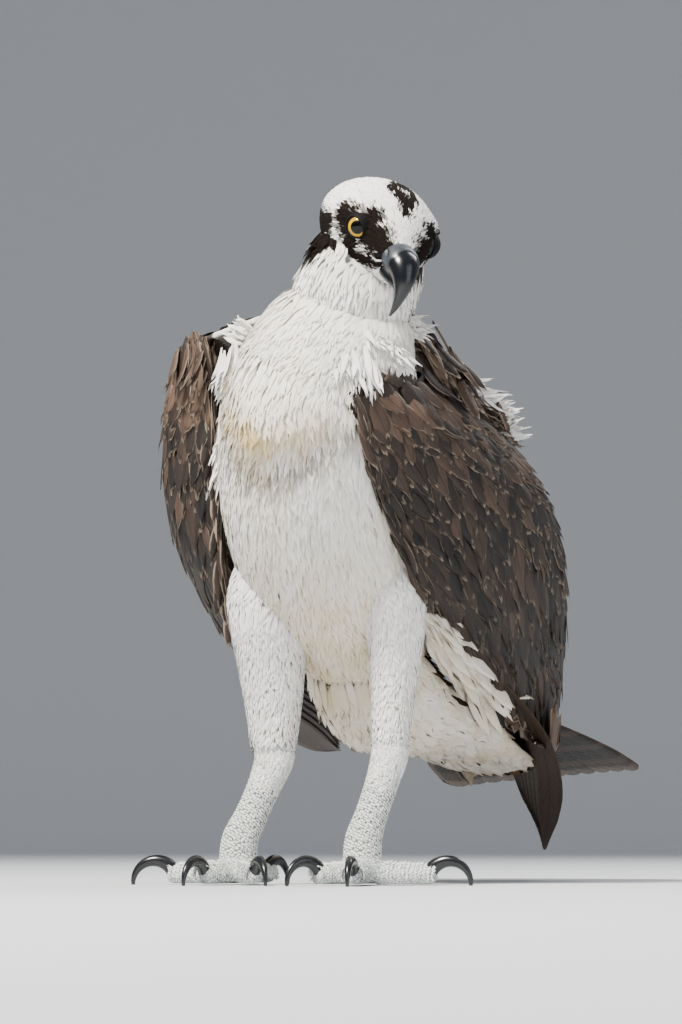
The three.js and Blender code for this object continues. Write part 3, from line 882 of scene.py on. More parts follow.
def steps_for(direction, du, dv):
    """How far u and v go for one millimetre along a direction in the surface."""
    e, f, g = (du * du).sum(-1), (du * dv).sum(-1), (dv * dv).sum(-1)
    p, q = (direction * du).sum(-1), (direction * dv).sum(-1)
    whole = np.maximum(e * g - f * f, 1e-6)
    return (p * g - q * f) / whole, (q * e - p * f) / whole


def down(surface, u, v, sign=1.0):
    """The direction in which u grows over the surface, or shrinks with sign -1."""
    return unit(surface(u + SLOPE_STEP, v) - surface(u - SLOPE_STEP, v)) * sign


def swirl(lie, normal, spin):
    """Each lie turned about its normal by an angle of its own, spread by spin."""
    amount = RANDOM.normal(0, spin, len(lie))
    side = np.cross(normal, lie)
    return lie * np.cos(amount)[:, None] + side * np.sin(amount)[:, None]


def roots(surface, count, size, spin, u_range, v_range=FULL_TURN, way=1.0, turn=1.0, cells=160):
    """Scattered roots, and a lie for each that runs down the surface, or up it with way -1."""
    u, v = scatter(surface, count, size, u_range, v_range, cells)
    return u, v, swirl(down(surface, u, v, way), tangents(surface, u, v, turn)[3], spin)


# %% Vanes
def vane_grid(rows, cols, widths, blunt):
    """The flat feather: across from -1 to 1, along from 0 to 1.

    widths are the half widths at even steps from the root to the tip, and the sides of
    the tip are drawn back by blunt times across squared times along squared.
    """
    along, across = np.meshgrid(np.linspace(0, 1, rows), np.linspace(-1, 1, cols), indexing="ij")
    width = np.interp(along, np.linspace(0, 1, len(widths)), widths)
    return across, along, across * width, along * (1 - blunt * across**2 * along**2)


BODY_FEATHER = {"widths": [0.35, 0.85, 1.0, 0.6], "blunt": 0.25}
LOCK = {"widths": [0.55, 1.0, 0.85, 0.25], "blunt": 0.1}
POINTED = {"widths": [0.4, 0.9, 1.0, 0.85, 0.3], "blunt": 0.15}
LONG_FEATHER = {"widths": [0.4, 0.8, 0.95, 1.0, 0.95, 0.75, 0.3], "blunt": 0.12}


def drape(surface, u, v, lie, length, width, sunk, rise, form, grid=(4, 5), turn=1.0, camber=0.08, loose=0.2):
    """Feathers bent over a surface from the roots (u, v), in the direction lie.

    A corner at (across, along) sits at the surface point that many millimetres away,
    moved out by: -sunk + (sunk + rise) along^0.45 - camber width across^2, plus a
    small roll of its own and a loose tip. Feathers that the surface folds or stretches
    too far are dropped.
    """
    n = len(u)
    point, du, dv, normal = tangents(surface, u, v, turn)
    lie = unit(lie - normal * (lie * normal).sum(-1, keepdims=True))
    side = np.cross(lie, normal)
    along_u, along_v = steps_for(lie, du, dv)
    side_u, side_v = steps_for(side, du, dv)
    across, along, flat_x, flat_y = vane_grid(*grid, form["widths"], form["blunt"])
    ragged = 1 + RANDOM.normal(0, 0.05, (n, 1, grid[1])) * (along**2)[None]
    wide, high = width[:, None, None], each(rise, n)[:, None, None]
    x = flat_x[None] * (width / 2)[:, None, None]
    y = flat_y[None] * ragged * length[:, None, None]
    roll = RANDOM.normal(0, 0.05, n)[:, None, None] * wide
    tip = RANDOM.normal(0, loose, n)[:, None, None] * high
    height = -sunk + (sunk + high) * (along**0.45)[None]
    height = height - camber * wide * (across**2 * (0.4 + along))[None]
    height = height + roll * across[None] * along[None] * 0.5 + tip * (along**2)[None]
    at_u = u[:, None, None] + x * side_u[:, None, None] + y * along_u[:, None, None]
    at_v = v[:, None, None] + x * side_v[:, None, None] + y * along_v[:, None, None]
    top = surface(at_u, at_v) + normal[:, None, None, :] * height[..., None]
    made = {"top": top, "normal": normal, "root": point, "u": u, "v": v}
    spread = np.linalg.norm(top - point[:, None, None, :], axis=-1).max((1, 2))
    straight = np.linalg.norm(top[:, -1, grid[1] // 2] - point, axis=-1)
    return keep(made, (spread < 1.12 * length + 3) & (straight > 0.5 * length))


def free_vanes(root, lie, normal, length, width, form, grid=(5, 5), curl=0.0, camber=0.1):
    """Feathers that stand free of the body: each bends out or in by curl along^2 of its length."""
    n = len(root)
    lie, normal = unit(lie), unit(normal)
    normal = unit(normal - lie * (lie * normal).sum(-1, keepdims=True))
    side = np.cross(lie, normal)
    across, along, flat_x, flat_y = vane_grid(*grid, form["widths"], form["blunt"])
    ragged = 1 + RANDOM.normal(0, 0.06, (n, 1, grid[1])) * (along**2)[None]
    x = flat_x[None] * (width / 2)[:, None, None]
    y = flat_y[None] * ragged * length[:, None, None]
    curl = each(curl, n)[:, None, None]
    height = curl * length[:, None, None] * (along**2)[None]
    height = height - camber * width[:, None, None] * (across**2)[None]
    top = root[:, None, None, :] + lie[:, None, None, :] * y[..., None]
    top = top + side[:, None, None, :] * x[..., None]
    top = top + normal[:, None, None, :] * height[..., None]
    return {"top": top, "normal": normal, "root": root}


def keep(feathers, mask):
    """Only the feathers of the mask."""
    return {key: value[mask] for key, value in feathers.items()}


def join_feathers(groups):
    """Several groups of feathers of one grid as one group."""
    keys = set.intersection(*(set(g) for g in groups))
    return {key: np.concatenate([g[key] for g in groups]) for key in keys}


def soft_normals(mesh, facing, upper, share):
    """Lights each vane mostly by the body's own curve: corner normals are mixed from the
    vane's shape and the direction its root faces, turned round on its underside."""
    own = np.empty(len(mesh.loops) * 3, np.float32)
    mesh.corner_normals.foreach_get("vector", own)
    own = own.reshape(len(facing), -1, 3)
    side = np.where(upper, 1.0, -1.0)[None, :, None]
    mixed = unit(own * (1 - share) + facing[:, None, :] * side * share)
    mesh.normals_split_custom_set(mixed.reshape(-1, 3).tolist())


# %% A coat piece
def feather_piece(name, feathers, thick, material, replaced=(), soft=0.0, patch=0.003):
    """One mesh of closed vanes. Top and underside share their rim, so each is a thin lens.

    The map OFBake gives each vane a patch of its own, at its root's place on the unwrap of its
    part, and the map vane gives the place on the vane itself. soft is how much of the body's own
    curve lights the vanes.
    """
    top = feathers["top"]
    n, rows, cols = top.shape[:3]
    across = np.linspace(-1, 1, cols)[None, None, :, None]
    under = top - feathers["normal"][:, None, None, :] * ((1 - across**2) * thick)
    index = np.arange(rows * cols).reshape(rows, cols)
    low = index.copy()
    low[1:-1, 1:-1] = rows * cols + np.arange((rows - 2) * (cols - 2)).reshape(rows - 2, cols - 2)
    up = np.stack([index[:-1, :-1], index[:-1, 1:], index[1:, 1:], index[1:, :-1]], -1).reshape(-1, 4)
    down = np.stack([low[:-1, :-1], low[1:, :-1], low[1:, 1:], low[:-1, 1:]], -1).reshape(-1, 4)
    faces = np.concatenate([up, down])
    points = np.concatenate([top.reshape(n, -1, 3), under[:, 1:-1, 1:-1].reshape(n, -1, 3)], 1)
    count = points.shape[1]
    local = np.stack(np.meshgrid(np.linspace(0, 1, cols), np.linspace(0, 1, rows)), -1)
    local = np.concatenate([local.reshape(-1, 2), local[1:-1, 1:-1].reshape(-1, 2)])
    every = faces[None] + (np.arange(n) * count)[:, None, None]
    mesh = bpy.data.meshes.new(name)
    mesh.vertices.add(n * count)
    mesh.vertices.foreach_set("co", metres(points).astype(np.float32).ravel())
    mesh.loops.add(every.size)
    mesh.loops.foreach_set("vertex_index", every.astype(np.int32).ravel())
    mesh.polygons.add(n * len(faces))
    mesh.polygons.foreach_set("loop_start", np.arange(0, every.size, 4, dtype=np.int32))
    mesh.update(calc_edges=True)
    corner = faces.ravel()
    vane = np.broadcast_to(local[corner][None], (n, len(corner), 2))
    bake = feathers["bake"][:, None, :] * (1 - patch) + local[corner][None] * patch
    for key, values in (("OFBake", bake), ("vane", vane)):
        mesh.uv_layers.new(name=key).data.foreach_set("uv", np.ascontiguousarray(values, np.float32).ravel())
    for key in ("tone", "dark", "warm"):
        store(mesh, key, np.repeat(feathers[key], count))
    if soft:
        mesh.polygons.foreach_set("use_smooth", np.full(len(mesh.polygons), True))
        soft_normals(mesh, feathers["normal"], np.arange(len(corner)) < up.size, soft)
    piece(name, mesh, material, replaced)
    print(name, n, "feathers", 2 * len(mesh.polygons), "triangles")


# %% Roots stay out of the flesh
SKIN_TREE = BVHTree.FromObject(skin, bpy.context.evaluated_depsgraph_get())


def clearance(points):
    """How far points stand off the skin, in millimetres, negative inside it."""
    found = [SKIN_TREE.find_nearest(Vector(p)) for p in metres(points)]
    place = np.array([f[0] for f in found])
    normal = np.array([f[1] for f in found])
    return ((metres(points) - place) * normal).sum(1) * 1000


def bake_place(made, v_range, cell):
    """A root's place on the unwrap of its part: round it across, down it up, in the cell."""
    x = (made["v"] - v_range[0]) / (v_range[1] - v_range[0]) % 1.0000001
    y = np.clip(made["u"], 0, 1)
    return np.stack([cell[0] + x * (cell[2] - cell[0]), cell[1] + y * (cell[3] - cell[1])], 1) * 0.98 + 0.01


# %% [markdown]
# ## The markings
#
# Skin and feathers ask the same functions where the plumage is dark, so that no
# white skin shows between brown feathers. A marking is a handful of soft round
# spots in the head's own axes: the stripe through the eye, the patch on the crown
# and the lore. The back of the neck and the mantle are brown.

# %% Marking functions
STRIPE = [
    [19, 25, 5, 10.5], [11, 27, 8, 7], [26, 20, 7, 10], [24, 17, 13, 6.5], [32, 13.5, 4, 8.5],
    [37, 9, 1, 6.5],
    [22, 22, -6, 6.5], [28, 15, -10, 5], [24, 19, -9, 4.5], [32, 11, -8, 5], [1, 31, -4, 8], [-6, 31, -9, 11],
    [-6, 30, -17, 8], [-15, 30, -8, 9.5], [-24, 27, -9, 9], [-32, 20, -11, 9], [-38, 14, -13, 8],
]
CROWN = [
    [6, -4, 26, 4.6], [1, 1, 27, 4.4], [-4, 6, 26, 4.6], [3, 7, 26, 4.2], [10, 7, 24.5, 4.4],
    [12, -2, 24.5, 4.2],
    [16, 3, 22, 4.2], [19, 0, 20.5, 3.8], [23, 0, 17.5, 3.2],
]


def head_place(points):
    """Points in the head's axes: forward, left, up."""
    away = points - HEAD_AT
    return np.stack([away @ FORWARD, away @ LEFT, away @ UP], -1)


def on_edge(dark):
    """True where a marking's edge lies."""
    return (dark > 0.02) & (dark < 0.98)


def mottled(dark, spread):
    """Each feather all dark or all white, mixed only where the marking's edge lies."""
    return np.round(np.clip(dark + RANDOM.normal(0, spread, len(dark)) * on_edge(dark), 0, 1))


def spots(places, table, soft=0.35):
    """1 inside any of the round spots, falling to 0 past their rims."""
    table = np.array(table, float)
    gap = np.linalg.norm(places[..., None, :] - table[:, :3], axis=-1) / table[:, 3]
    return (1 - smoothstep(1 - soft, 1 + soft, gap)).max(-1)


def head_dark(points):
    """How dark the head is: the stripe on both sides and the crown patch."""
    place = head_place(points)
    both = place * [1, 0, 1] + np.abs(place) * [0, 1, 0]
    return np.maximum(spots(both, STRIPE), np.clip(spots(place, CROWN, 0.3) * 1.3, 0, 1))


def neck_dark(angle):
    """Brown down the back of the neck, more on its right. The neck's angle starts at its back."""
    away = np.degrees(np.abs((angle - math.radians(326) + math.pi) % (2 * math.pi) - math.pi))
    return 1 - smoothstep(62, 80, away)


def trunk_dark(t, angle):
    """Brown back, white front: the edge runs high on the shoulders."""
    away = np.degrees(np.abs((angle + math.pi) % (2 * math.pi) - math.pi))
    right = (np.sin(angle) < 0) * (1 - smoothstep(0.02, 0.12, t))
    edge = 112 - 20 * right + 14 * smoothstep(0.1, 0.6, t) + 60 * smoothstep(0.8, 1.0, t)
    return smoothstep(edge - 8, edge + 8, away)


# %% Coat materials
def feather_inputs(material):
    """What a feather's material reads: how far along the vane and away from its shaft a point
    is, the point in the bird's frame, and the tone, dark and warm numbers of the vane."""
    vane = node(material, "Attribute", {}, "Vector", attribute_name="vane")
    x = node(material, "SeparateXYZ", {0: vane})
    middle = node(material, "Math", {0: x, 1: 0.5}, operation="SUBTRACT")
    side = node(material, "Math", {0: middle}, operation="ABSOLUTE")
    place = node(material, "TexCoord", {}, "Object")
    numbers = [node(material, "Attribute", {}, "Fac", attribute_name=k) for k in ("tone", "dark", "warm")]
    return (x.node.outputs[1], side, place, *numbers)


def barb_lines(material, along, side, slant_along, slant_side):
    """Fine waves that run from the shaft to the rim: the sine of a slanting distance."""
    far = node(material, "Math", {0: along, 1: slant_along}, operation="MULTIPLY")
    out = node(material, "Math", {0: side, 1: slant_side}, operation="MULTIPLY")
    slant = node(material, "Math", {0: far, 1: out}, operation="ADD")
    return node(material, "Math", {0: slant}, operation="SINE")


def plumage_material():
    """Body plumage: keratin barbs scatter light, so white feathers are bright, soft and a
    little see-through, with warm buff stains and fine lines along the barbs. The buff is also painted
    shade on the lower belly and just above the crop's crease, the crease itself is painted grey as
    shade, and each vane is painted darker towards its root as shade where the vanes over it lie.
    A buff patch is some 26 mm wide, and the barbs are drawn far coarser than the real ones, to show at all."""
    material, shader = new_material("white and brown body plumage")
    along, side, place, tone, dark, warm = feather_inputs(material)
    # Patches of buff: real stains, and painted shade on the lower belly and just above the crop's crease.
    buff_stain_and_shade = node(material, "TexNoise", {"Vector": place, "Scale": 38.0, "Detail": 3.0})
    whites = [(0.0, "#aba9a6"), (0.3, "#e6e4e1"), (0.7, "#f4f3f1"), (1.0, "#fbfaf9")]
    browns = [(0.0, "#0b0705"), (0.3, "#21160e"), (0.6, "#3c2a1c"), (1.0, "#6a4f39")]
    white = node(material, "ValToRGB", {0: tone}, stops=whites)
    buff = node(material, "Math", {0: warm, 1: buff_stain_and_shade}, operation="MULTIPLY", use_clamp=True)
    white = node(material, "Mix", {0: buff, 6: white, 7: srgb("#d6bd8a")}, 2, data_type="RGBA")
    brown = node(material, "ValToRGB", {0: tone}, stops=browns)
    colour = node(material, "Mix", {0: dark, 6: white, 7: brown}, 2, data_type="RGBA")
    # Painted shade: every body vane is darker towards its root, where the vanes lying over it shade it.
    root_shade_stops = [(0.0, "#e2dfdb"), (0.3, "#f8f7f6"), (1.0, "#ffffff")]
    deep = node(material, "ValToRGB", {0: along}, stops=root_shade_stops)
    colour = node(material, "Mix", {0: 0.8, 6: colour, 7: deep}, 2, data_type="RGBA", blend_type="MULTIPLY")
    lines = barb_lines(material, along, side, 60.0, 40.0)
    shade = node(material, "Math", {0: lines, 1: 0.03, 2: 0.98}, operation="MULTIPLY_ADD")
    grey = node(material, "CombineColor", {0: shade, 1: shade, 2: shade})
    colour = node(material, "Mix", {0: 1.0, 6: colour, 7: grey}, 2, data_type="RGBA", blend_type="MULTIPLY")
    relief = node(material, "Bump", {"Height": lines, "Strength": 0.15, "Distance": 0.0002})
    wire(shader, {"Base Color": colour, "Normal": relief, "Roughness": 0.9, "Specular IOR Level": 0.12})
    return material


PLUMAGE = plumage_material()

# %% [markdown]
# ## Feathers of the head and neck
#
# The feathers of the face are only a few millimetres long, so they are drawn as
# many small vanes from the bill backwards. Around the eye they leave a bare ring
# for the lid. On the neck they grow longer and looser.


# %% Head and neck

def gaze(sign):
    """Where an eye looks: to its side and forward, the right one more than the left."""
    a = math.radians(45 if sign < 0 else -6)
    return unit(FORWARD * math.sin(a) + LEFT * (sign * math.cos(a)) + UP * 0.02)


def off_gaze(points, sign):
    """How far points lie from the line of sight of an eye."""
    away = points - eye_point(sign)
    ahead = away @ gaze(sign)
    off = np.linalg.norm(away - ahead[..., None] * gaze(sign), axis=-1)
    return np.where(ahead > 0, off, 99.0)


def finish_group(made, dark, warm, v_range=FULL_TURN, cell=(0, 0, 1, 1)):
    """Gives each feather its tone, its marking and its place on the unwrap."""
    n = len(made["root"])
    made["tone"] = np.clip(RANDOM.normal(0.62, 0.2, n), 0, 1)
    made["dark"] = np.clip(each(dark, n), 0, 1)
    made["warm"] = each(warm, n)
    made["bake"] = bake_place(made, v_range, cell)
    return made


SOOT = 0.12  # the share of its tone that a feather of a black marking keeps
BARE = {"eye": 6.9, "bill": 36.5}  # no feather this near a line of sight, or further forward


def head_feathers(count=7400):
    """Short feathers from the bill back to the nape, smallest round the bill and the eyes."""
    u, v = scatter(skull, count, lambda u, v: 1.3 + 3.0 * np.clip(1 - u, 0, 1) ** 0.8, (0.02, 0.985))
    lie = unit(down(skull, u, v, -1.0) - UP * (0.3 * np.abs(np.sin(v)))[:, None])
    lie = swirl(lie, tangents(skull, u, v)[3], 0.22)
    long = (3.2 + 6.4 * (1 - u) ** 0.9) * RANDOM.uniform(0.85, 1.2, count)
    made = drape(skull, u, v, lie, long, long * 0.34, 2.6, 0.25, LOCK, (4, 3), camber=0.06)
    free = (off_gaze(made["root"], 1) > BARE["eye"]) & (off_gaze(made["root"], -1) > BARE["eye"])
    free &= (head_place(made["root"])[:, 0] < BARE["bill"]) & (clearance(made["root"]) > 1.0)
    made = keep(made, free)
    dark = head_dark(made["root"])
    dark = dark + RANDOM.normal(0, 0.28, len(dark)) * on_edge(dark)
    made = finish_group(made, dark, 0.1)
    made["tone"] = np.where(made["dark"] > 0.5, made["tone"] * SOOT, made["tone"])
    return made


def neck_feathers(count=3400):
    """Looser feathers down the neck, twice as long as those of the head, and the black end of
    the stripe behind the ear."""
    u, v, lie = roots(neck, count, lambda u, v: 1.0 + 0 * u, 0.25, (0.0, 1.0), way=-1.0)
    long = RANDOM.uniform(10, 17, count)
    made = drape(neck, u, v, lie, long, long * 0.24, 3.2, 0.9, LOCK, (5, 3), camber=0.05, loose=0.6)
    ahead = head_place(made["root"])[:, 0] > 4
    made = keep(made, (clearance(made["root"]) > 1.5) & ~(ahead & (head_dark(made["root"]) > 0.3)))
    ear = head_dark(made["root"]) > 0.3
    made = finish_group(made, np.maximum(mottled(neck_dark(made["v"]), 0.25), ear), 0.2)
    made["tone"] = np.where(ear, made["tone"] * SOOT, made["tone"])
    return made


feather_piece("head_feathers", head_feathers(), 0.08, PLUMAGE, soft=0.8)
feather_piece("neck_feathers", neck_feathers(), 0.1, PLUMAGE, soft=0.85)

# %% [markdown]
# ## Breast, belly, back and legs
#
# The white of the breast looks like one soft surface, because its feathers break
# into narrow locks that lie close. Only under the full crop and on the shoulders do
# the tips break away. The back is brown, and the thighs wear short dense trousers.


# %% Trunk, vent and legs
FLANK = -0.45  # the cosine of the angle where the breast's feathers give way to the back's


def trunk_feathers(count, front):
    """White vanes in front, or longer brown ones behind, from the shoulders to the belly."""
    size = lambda u, v: 1.0 + 0.5 * u + 50 * ((np.cos(v) < FLANK) == front)  # none on the other half
    u, v, lie = roots(trunk, count, size, 0.22, (0.0, 1.0), BOTH_WAYS)
    long = (15 + 9 * u) * RANDOM.uniform(0.8, 1.25, count)
    wide = np.where(np.cos(v) < FLANK, long * 0.6, 3.6)
    rise = 0.3 + 1.8 * bell(crop_line(u, v), 0.385, 0.04) * crop_front(v)
    form, grid = (LOCK, (4, 3)) if front else (BODY_FEATHER, (4, 5))
    made = drape(trunk, u, v, lie, long, wide, 3.6, rise, form, grid, camber=0.04, loose=0.6)
    made = keep(made, (clearance(made["root"]) > 1.5) & ((np.cos(made["v"]) < FLANK) != front))
    dark = mottled(trunk_dark(made["u"], made["v"]), 0.2)
    ahead, crease = crop_front(made["v"]), crop_line(made["u"], made["v"])
    # Buff: faint all over, plus painted shade on the lower belly and in a band on the crop's underside, just
    # above its crease.
    warm = 0.35 + 0.75 * smoothstep(0.42, 0.75, made["u"]) + 1.2 * ahead**2 * bell(crease, 0.37, 0.03)
    made = finish_group(made, dark, warm, BOTH_WAYS)
    # Painted shade: the feathers along the crop's crease are greyed, as its shadow.
    made["tone"] = np.clip(made["tone"] - 0.75 * (ahead * bell(crease, 0.42, 0.018)), 0, 1)
    return made


def vent_feathers(count=1500):
    """Long loose white feathers under the tail and brown ones over it."""
    u, v, lie = roots(vent, count, lambda u, v: 1.0 + 0.8 * u, 0.2, (0.0, 0.98), BOTH_WAYS)
    long = (20 + 24 * u) * RANDOM.uniform(0.8, 1.15, count)
    made = drape(vent, u, v, lie, long, long * 0.3, 3.6, 1.5, POINTED, (6, 5), camber=0.05, loose=0.6)
    made = keep(made, clearance(made["root"]) > 1.2)
    return finish_group(made, mottled(smoothstep(1.7, 2.1, np.abs(made["v"])), 0.2), 0.9, BOTH_WAYS)


def shank_feathers(side, count=3200):
    """Short dense trousers, pointing down the leg."""
    surface = tube(SHANKS[side])
    u, v, lie = roots(surface, count, lambda u, v: 1.3 - 0.4 * u, 0.25, (0.0, 1.0))
    long = (11 - 4.5 * u) * RANDOM.uniform(0.8, 1.2, count)
    made = drape(surface, u, v, lie, long, long * 0.25, 2.0, 0.2, LOCK, (4, 3), camber=0.04, loose=0.4)
    made = keep(made, clearance(made["root"]) > 1.0)
    return finish_group(made, 0, 0.1, cell=(0, 0, 0.5, 1) if side == "left" else (0.5, 0, 1, 1))


def tarsus_feathers(side, count=700):
    """The last short feathers, thinning out over the top of the bare leg."""
    surface = tube(TARSI[side])
    u, v, lie = roots(surface, count, lambda u, v: 1.0 + 3.0 * u, 0.2, (0.0, 0.42))
    long = (9.0 - 9.0 * u) * RANDOM.uniform(0.7, 1.3, count)
    made = drape(surface, u, v, lie, long, long * 0.28, 0.8, 0.3, LOCK, (4, 3), camber=0.04, loose=0.3)
    return finish_group(made, 0, 0.1, cell=(0, 0, 0.5, 0.3) if side == "left" else (0.5, 0, 1, 0.3))


feather_piece("breast_feathers", trunk_feathers(8200, True), 0.1, PLUMAGE, soft=0.85)
feather_piece("back_feathers", trunk_feathers(1100, False), 0.2, PLUMAGE, soft=0.4)
feather_piece("vent_feathers", vent_feathers(), 0.15, PLUMAGE, soft=0.65)
legs = join_feathers([f(side) for side in SIGN for f in (shank_feathers, tarsus_feathers)])
feather_piece("trouser_feathers", legs, 0.1, PLUMAGE, soft=0.7)

# %% [markdown]
# ## Wings
#
# The outer side of a wing is shingled in tiers: small coverts at the shoulder,
# longer ones below, and the long stiff secondaries whose tips make the wing's
# lower edge. Each brown vane wears a paler worn rim, drawn by the vane's own
# coordinates, so it follows every feather.


# %% Flight feather material
def flight_material(name, browns, rim, rim_strength, bars=0.0):
    """Brown flight feathers and coverts: a dark vane, a black shaft, fine barbs and a
    bleached rim, with pale bars across the inner web where the tail has them. The worn
    places are some 8 mm wide, and the barbs are drawn coarser than the real ones."""
    material, shader = new_material(name)
    along, side, place, tone, dark, warm = feather_inputs(material)
    worn = node(material, "TexNoise", {"Vector": place, "Scale": 120.0, "Detail": 3.0})
    colour = node(material, "ValToRGB", {0: tone}, stops=list(zip((0.0, 0.5, 1.0), browns)))
    wider = node(material, "Math", {0: warm, 1: 0.13}, operation="MULTIPLY")
    begin = node(material, "Math", {0: 0.45, 1: wider}, operation="SUBTRACT")
    edge = node(material, "MapRange", {0: side, 1: begin, 2: 0.5})
    tip = node(material, "MapRange", {0: along, 1: 0.90, 2: 1.0})
    pale = node(material, "Math", {0: edge, 1: tip}, operation="MAXIMUM")
    pale = node(material, "Math", {0: pale, 1: warm}, operation="MULTIPLY", use_clamp=True)
    pale = node(material, "Math", {0: pale, 1: rim_strength}, operation="MULTIPLY")
    patchy = node(material, "Math", {0: worn, 1: 0.35}, operation="ADD")
    pale = node(material, "Math", {0: pale, 1: patchy}, operation="MULTIPLY", use_clamp=True)
    colour = node(material, "Mix", {0: pale, 6: colour, 7: srgb(rim)}, 2, data_type="RGBA")
    if bars:
        turns = node(material, "Math", {0: along, 1: bars}, operation="MULTIPLY")
        wave = node(material, "Math", {0: turns}, operation="SINE")
        band = node(material, "MapRange", {0: wave, 1: 0.35, 2: 0.75})
        band = node(material, "Math", {0: band, 1: dark}, operation="MULTIPLY", use_clamp=True)
        colour = node(material, "Mix", {0: band, 6: colour, 7: srgb("#5e4b3d")}, 2, data_type="RGBA")
    shaft = node(material, "MapRange", {0: side, 1: 0.035, 2: 0.015})
    shaft = node(material, "Math", {0: shaft, 1: 0.6}, operation="MULTIPLY")
    colour = node(material, "Mix", {0: shaft, 6: colour, 7: srgb("#15100c")}, 2, data_type="RGBA")
    lines = barb_lines(material, along, side, 150.0, -60.0)
    relief = node(material, "Bump", {"Height": lines, "Strength": 0.35, "Distance": 0.0003})
    wire(shader, {"Base Color": colour, "Normal": relief, "Roughness": 0.6, "Specular IOR Level": 0.35})
    return material


COVERT_BROWNS = ["#0f0a07", "#2b1f18", "#5b4638"]
COVERT = flight_material("brown wing coverts with bleached rims", COVERT_BROWNS, "#d9c3ab", 0.9)
FLIGHT = flight_material("dark brown flight feathers", ["#0e0906", "#21170f", "#3a2a1f"], "#8d765e", 0.5)
TAIL_VANE = flight_material("barred tail feathers", ["#110b08", "#241912", "#382920"], "#9c7656", 0.6, 44.0)


# %% Wing feathers
def dress(made, low, high, rim, dark=0.0, fade=0.0):
    """Tone between low and high, less by fade down the wing, a worn rim, bars where dark, and
    the place on the unwrap."""
    n = len(made["root"])
    made["tone"] = np.clip(RANDOM.uniform(low, high, n) - fade * made["u"], 0, 1)
    made["dark"] = each(dark, n)
    made["warm"] = np.clip(np.asarray(rim, float) * RANDOM.uniform(0.5, 1.3, n), 0, 1)
    made["bake"] = bake_place(made, (0, 1.0001), (0, 0, 1, 1))
    return made


def wing_coverts(side, count=1050):
    """Coverts over the outer side, longer and narrower down the wing and towards its back."""
    surface, turn = wing(side), SIGN[side]
    u, v, lie = roots(surface, count, lambda s, u: 1.0 + 1.1 * s, 0.16, (0.0, 0.68), (0.0, 1.0), turn=turn)
    long = (20 + 50 * u) * RANDOM.uniform(0.8, 1.25, count)
    wide = (8.5 + 6 * u) * RANDOM.uniform(0.8, 1.2, count)
    rise = 1.0 + 1.4 * RANDOM.random(count)
    made = drape(surface, u, v, lie, long, wide, 2.0, rise, POINTED, (6, 5), turn, 0.09, 0.5)
    pale = 1.0 if side == "right" else 0.6
    made = dress(made, 0.1, 0.9, pale * (1 - 0.6 * made["u"]), fade=0.45)
    # Painted sunlight: the coverts along the top of the wing are lighter, far more on the right wing, whose
    # rims there also grow wider and paler.
    painted_sunlight = (1 - smoothstep(0.04, 0.2, made["u"])) * (0.9 if side == "right" else 0.2)
    made["tone"] = np.clip(made["tone"] + painted_sunlight, 0, 1.0)
    made["warm"] = np.clip(made["warm"] + painted_sunlight * (side == "right"), 0, 1)
    return made


def blades(surface, sign, middles, half, start, end, form, grid, shingle, height):
    """Long feathers laid side by side in a surface's own coordinates.

    Feather k runs from start to end down the surface about middles[k], half wide in v.
    Its height is height[k] + shingle across, so that each lies over its neighbour.
    """
    across, along, flat_x, flat_y = vane_grid(*grid, form["widths"], form["blunt"])
    start, end, half, height = (each(k, len(middles))[:, None, None] for k in (start, end, half, height))
    at_u = start + (end - start) * flat_y[None]
    at_v = middles[:, None, None] + flat_x[None] * half * sign
    normal = tangents(surface, (start + end)[:, 0, 0] / 2, middles, sign)[3]
    lift = height * along[None] + shingle * across[None] - 0.9 * across[None] ** 2
    top = surface(at_u, at_v) + normal[:, None, None, :] * lift[..., None]
    return {"top": top, "normal": normal, "root": top[:, 0, grid[1] // 2], "u": start[:, 0, 0], "v": middles}


def secondaries(side, count=19):
    """The long feathers whose tips make the lower edge, and a shorter tier over them."""
    tiers = []
    for start, end, lift, number in ((0.42, 1.0, 0.0, count), (0.3, 0.80, 1.3, count - 2)):
        middles = np.linspace(0.03, 0.97, number)
        tips = end - RANDOM.uniform(0, 0.05, number)
        shape = middles, 0.9 / number, start, tips, LONG_FEATHER, (14, 7)
        tiers.append(blades(wing(side), SIGN[side], *shape, 0.7, lift))
    return dress(join_feathers(tiers), 0.15, 0.8, 0.5)


def wing_rim(side, count=190):
    """Feathers over the leading edge and the top of the wing, where its thickness would show."""
    surface = wing(side)
    edge = RANDOM.random(count)
    front = RANDOM.random(count) < 0.62
    u = np.where(front, edge * 0.85, 0.012)
    v = np.where(front, 0.015, edge * 0.98)
    point, du, dv, normal = tangents(surface, u, v, SIGN[side])
    thick = wing_thick(u)
    deep = RANDOM.uniform(0.05, 0.9, count) * thick
    away = np.where(front[:, None], -unit(dv), -unit(du))
    facing = unit(away + normal * (0.9 - 1.8 * deep / thick)[:, None])
    root = point - normal * deep[:, None] + away * 0.3
    lie = swirl(unit(du), facing, 0.15)
    long = RANDOM.uniform(18, 28, count) + 14 * u
    made = free_vanes(root, lie, facing, long, RANDOM.uniform(7, 10, count), POINTED, (6, 5), 0.0, 0.12)
    made.update(u=u, v=v)
    return dress(made, 0.1, 0.7, 0.8 if side == "right" else 0.4)


def under_coverts(side, count=330):
    """Smaller mottled feathers on the inner side."""
    surface, turn = under_wing(side), -SIGN[side]
    size = lambda s, u: 1.0 + 1.0 * s
    u, v, lie = roots(surface, count, size, 0.2, (0.06, 0.9), (0.14, 0.92), turn=turn, cells=60)
    long = (24 + 34 * u) * RANDOM.uniform(0.85, 1.15, count)
    made = drape(surface, u, v, lie, long, long * 0.45, 1.5, 0.6, POINTED, (6, 5), turn, 0.06, 0.3)
    return dress(made, 0.3, 1.0, 1.0)


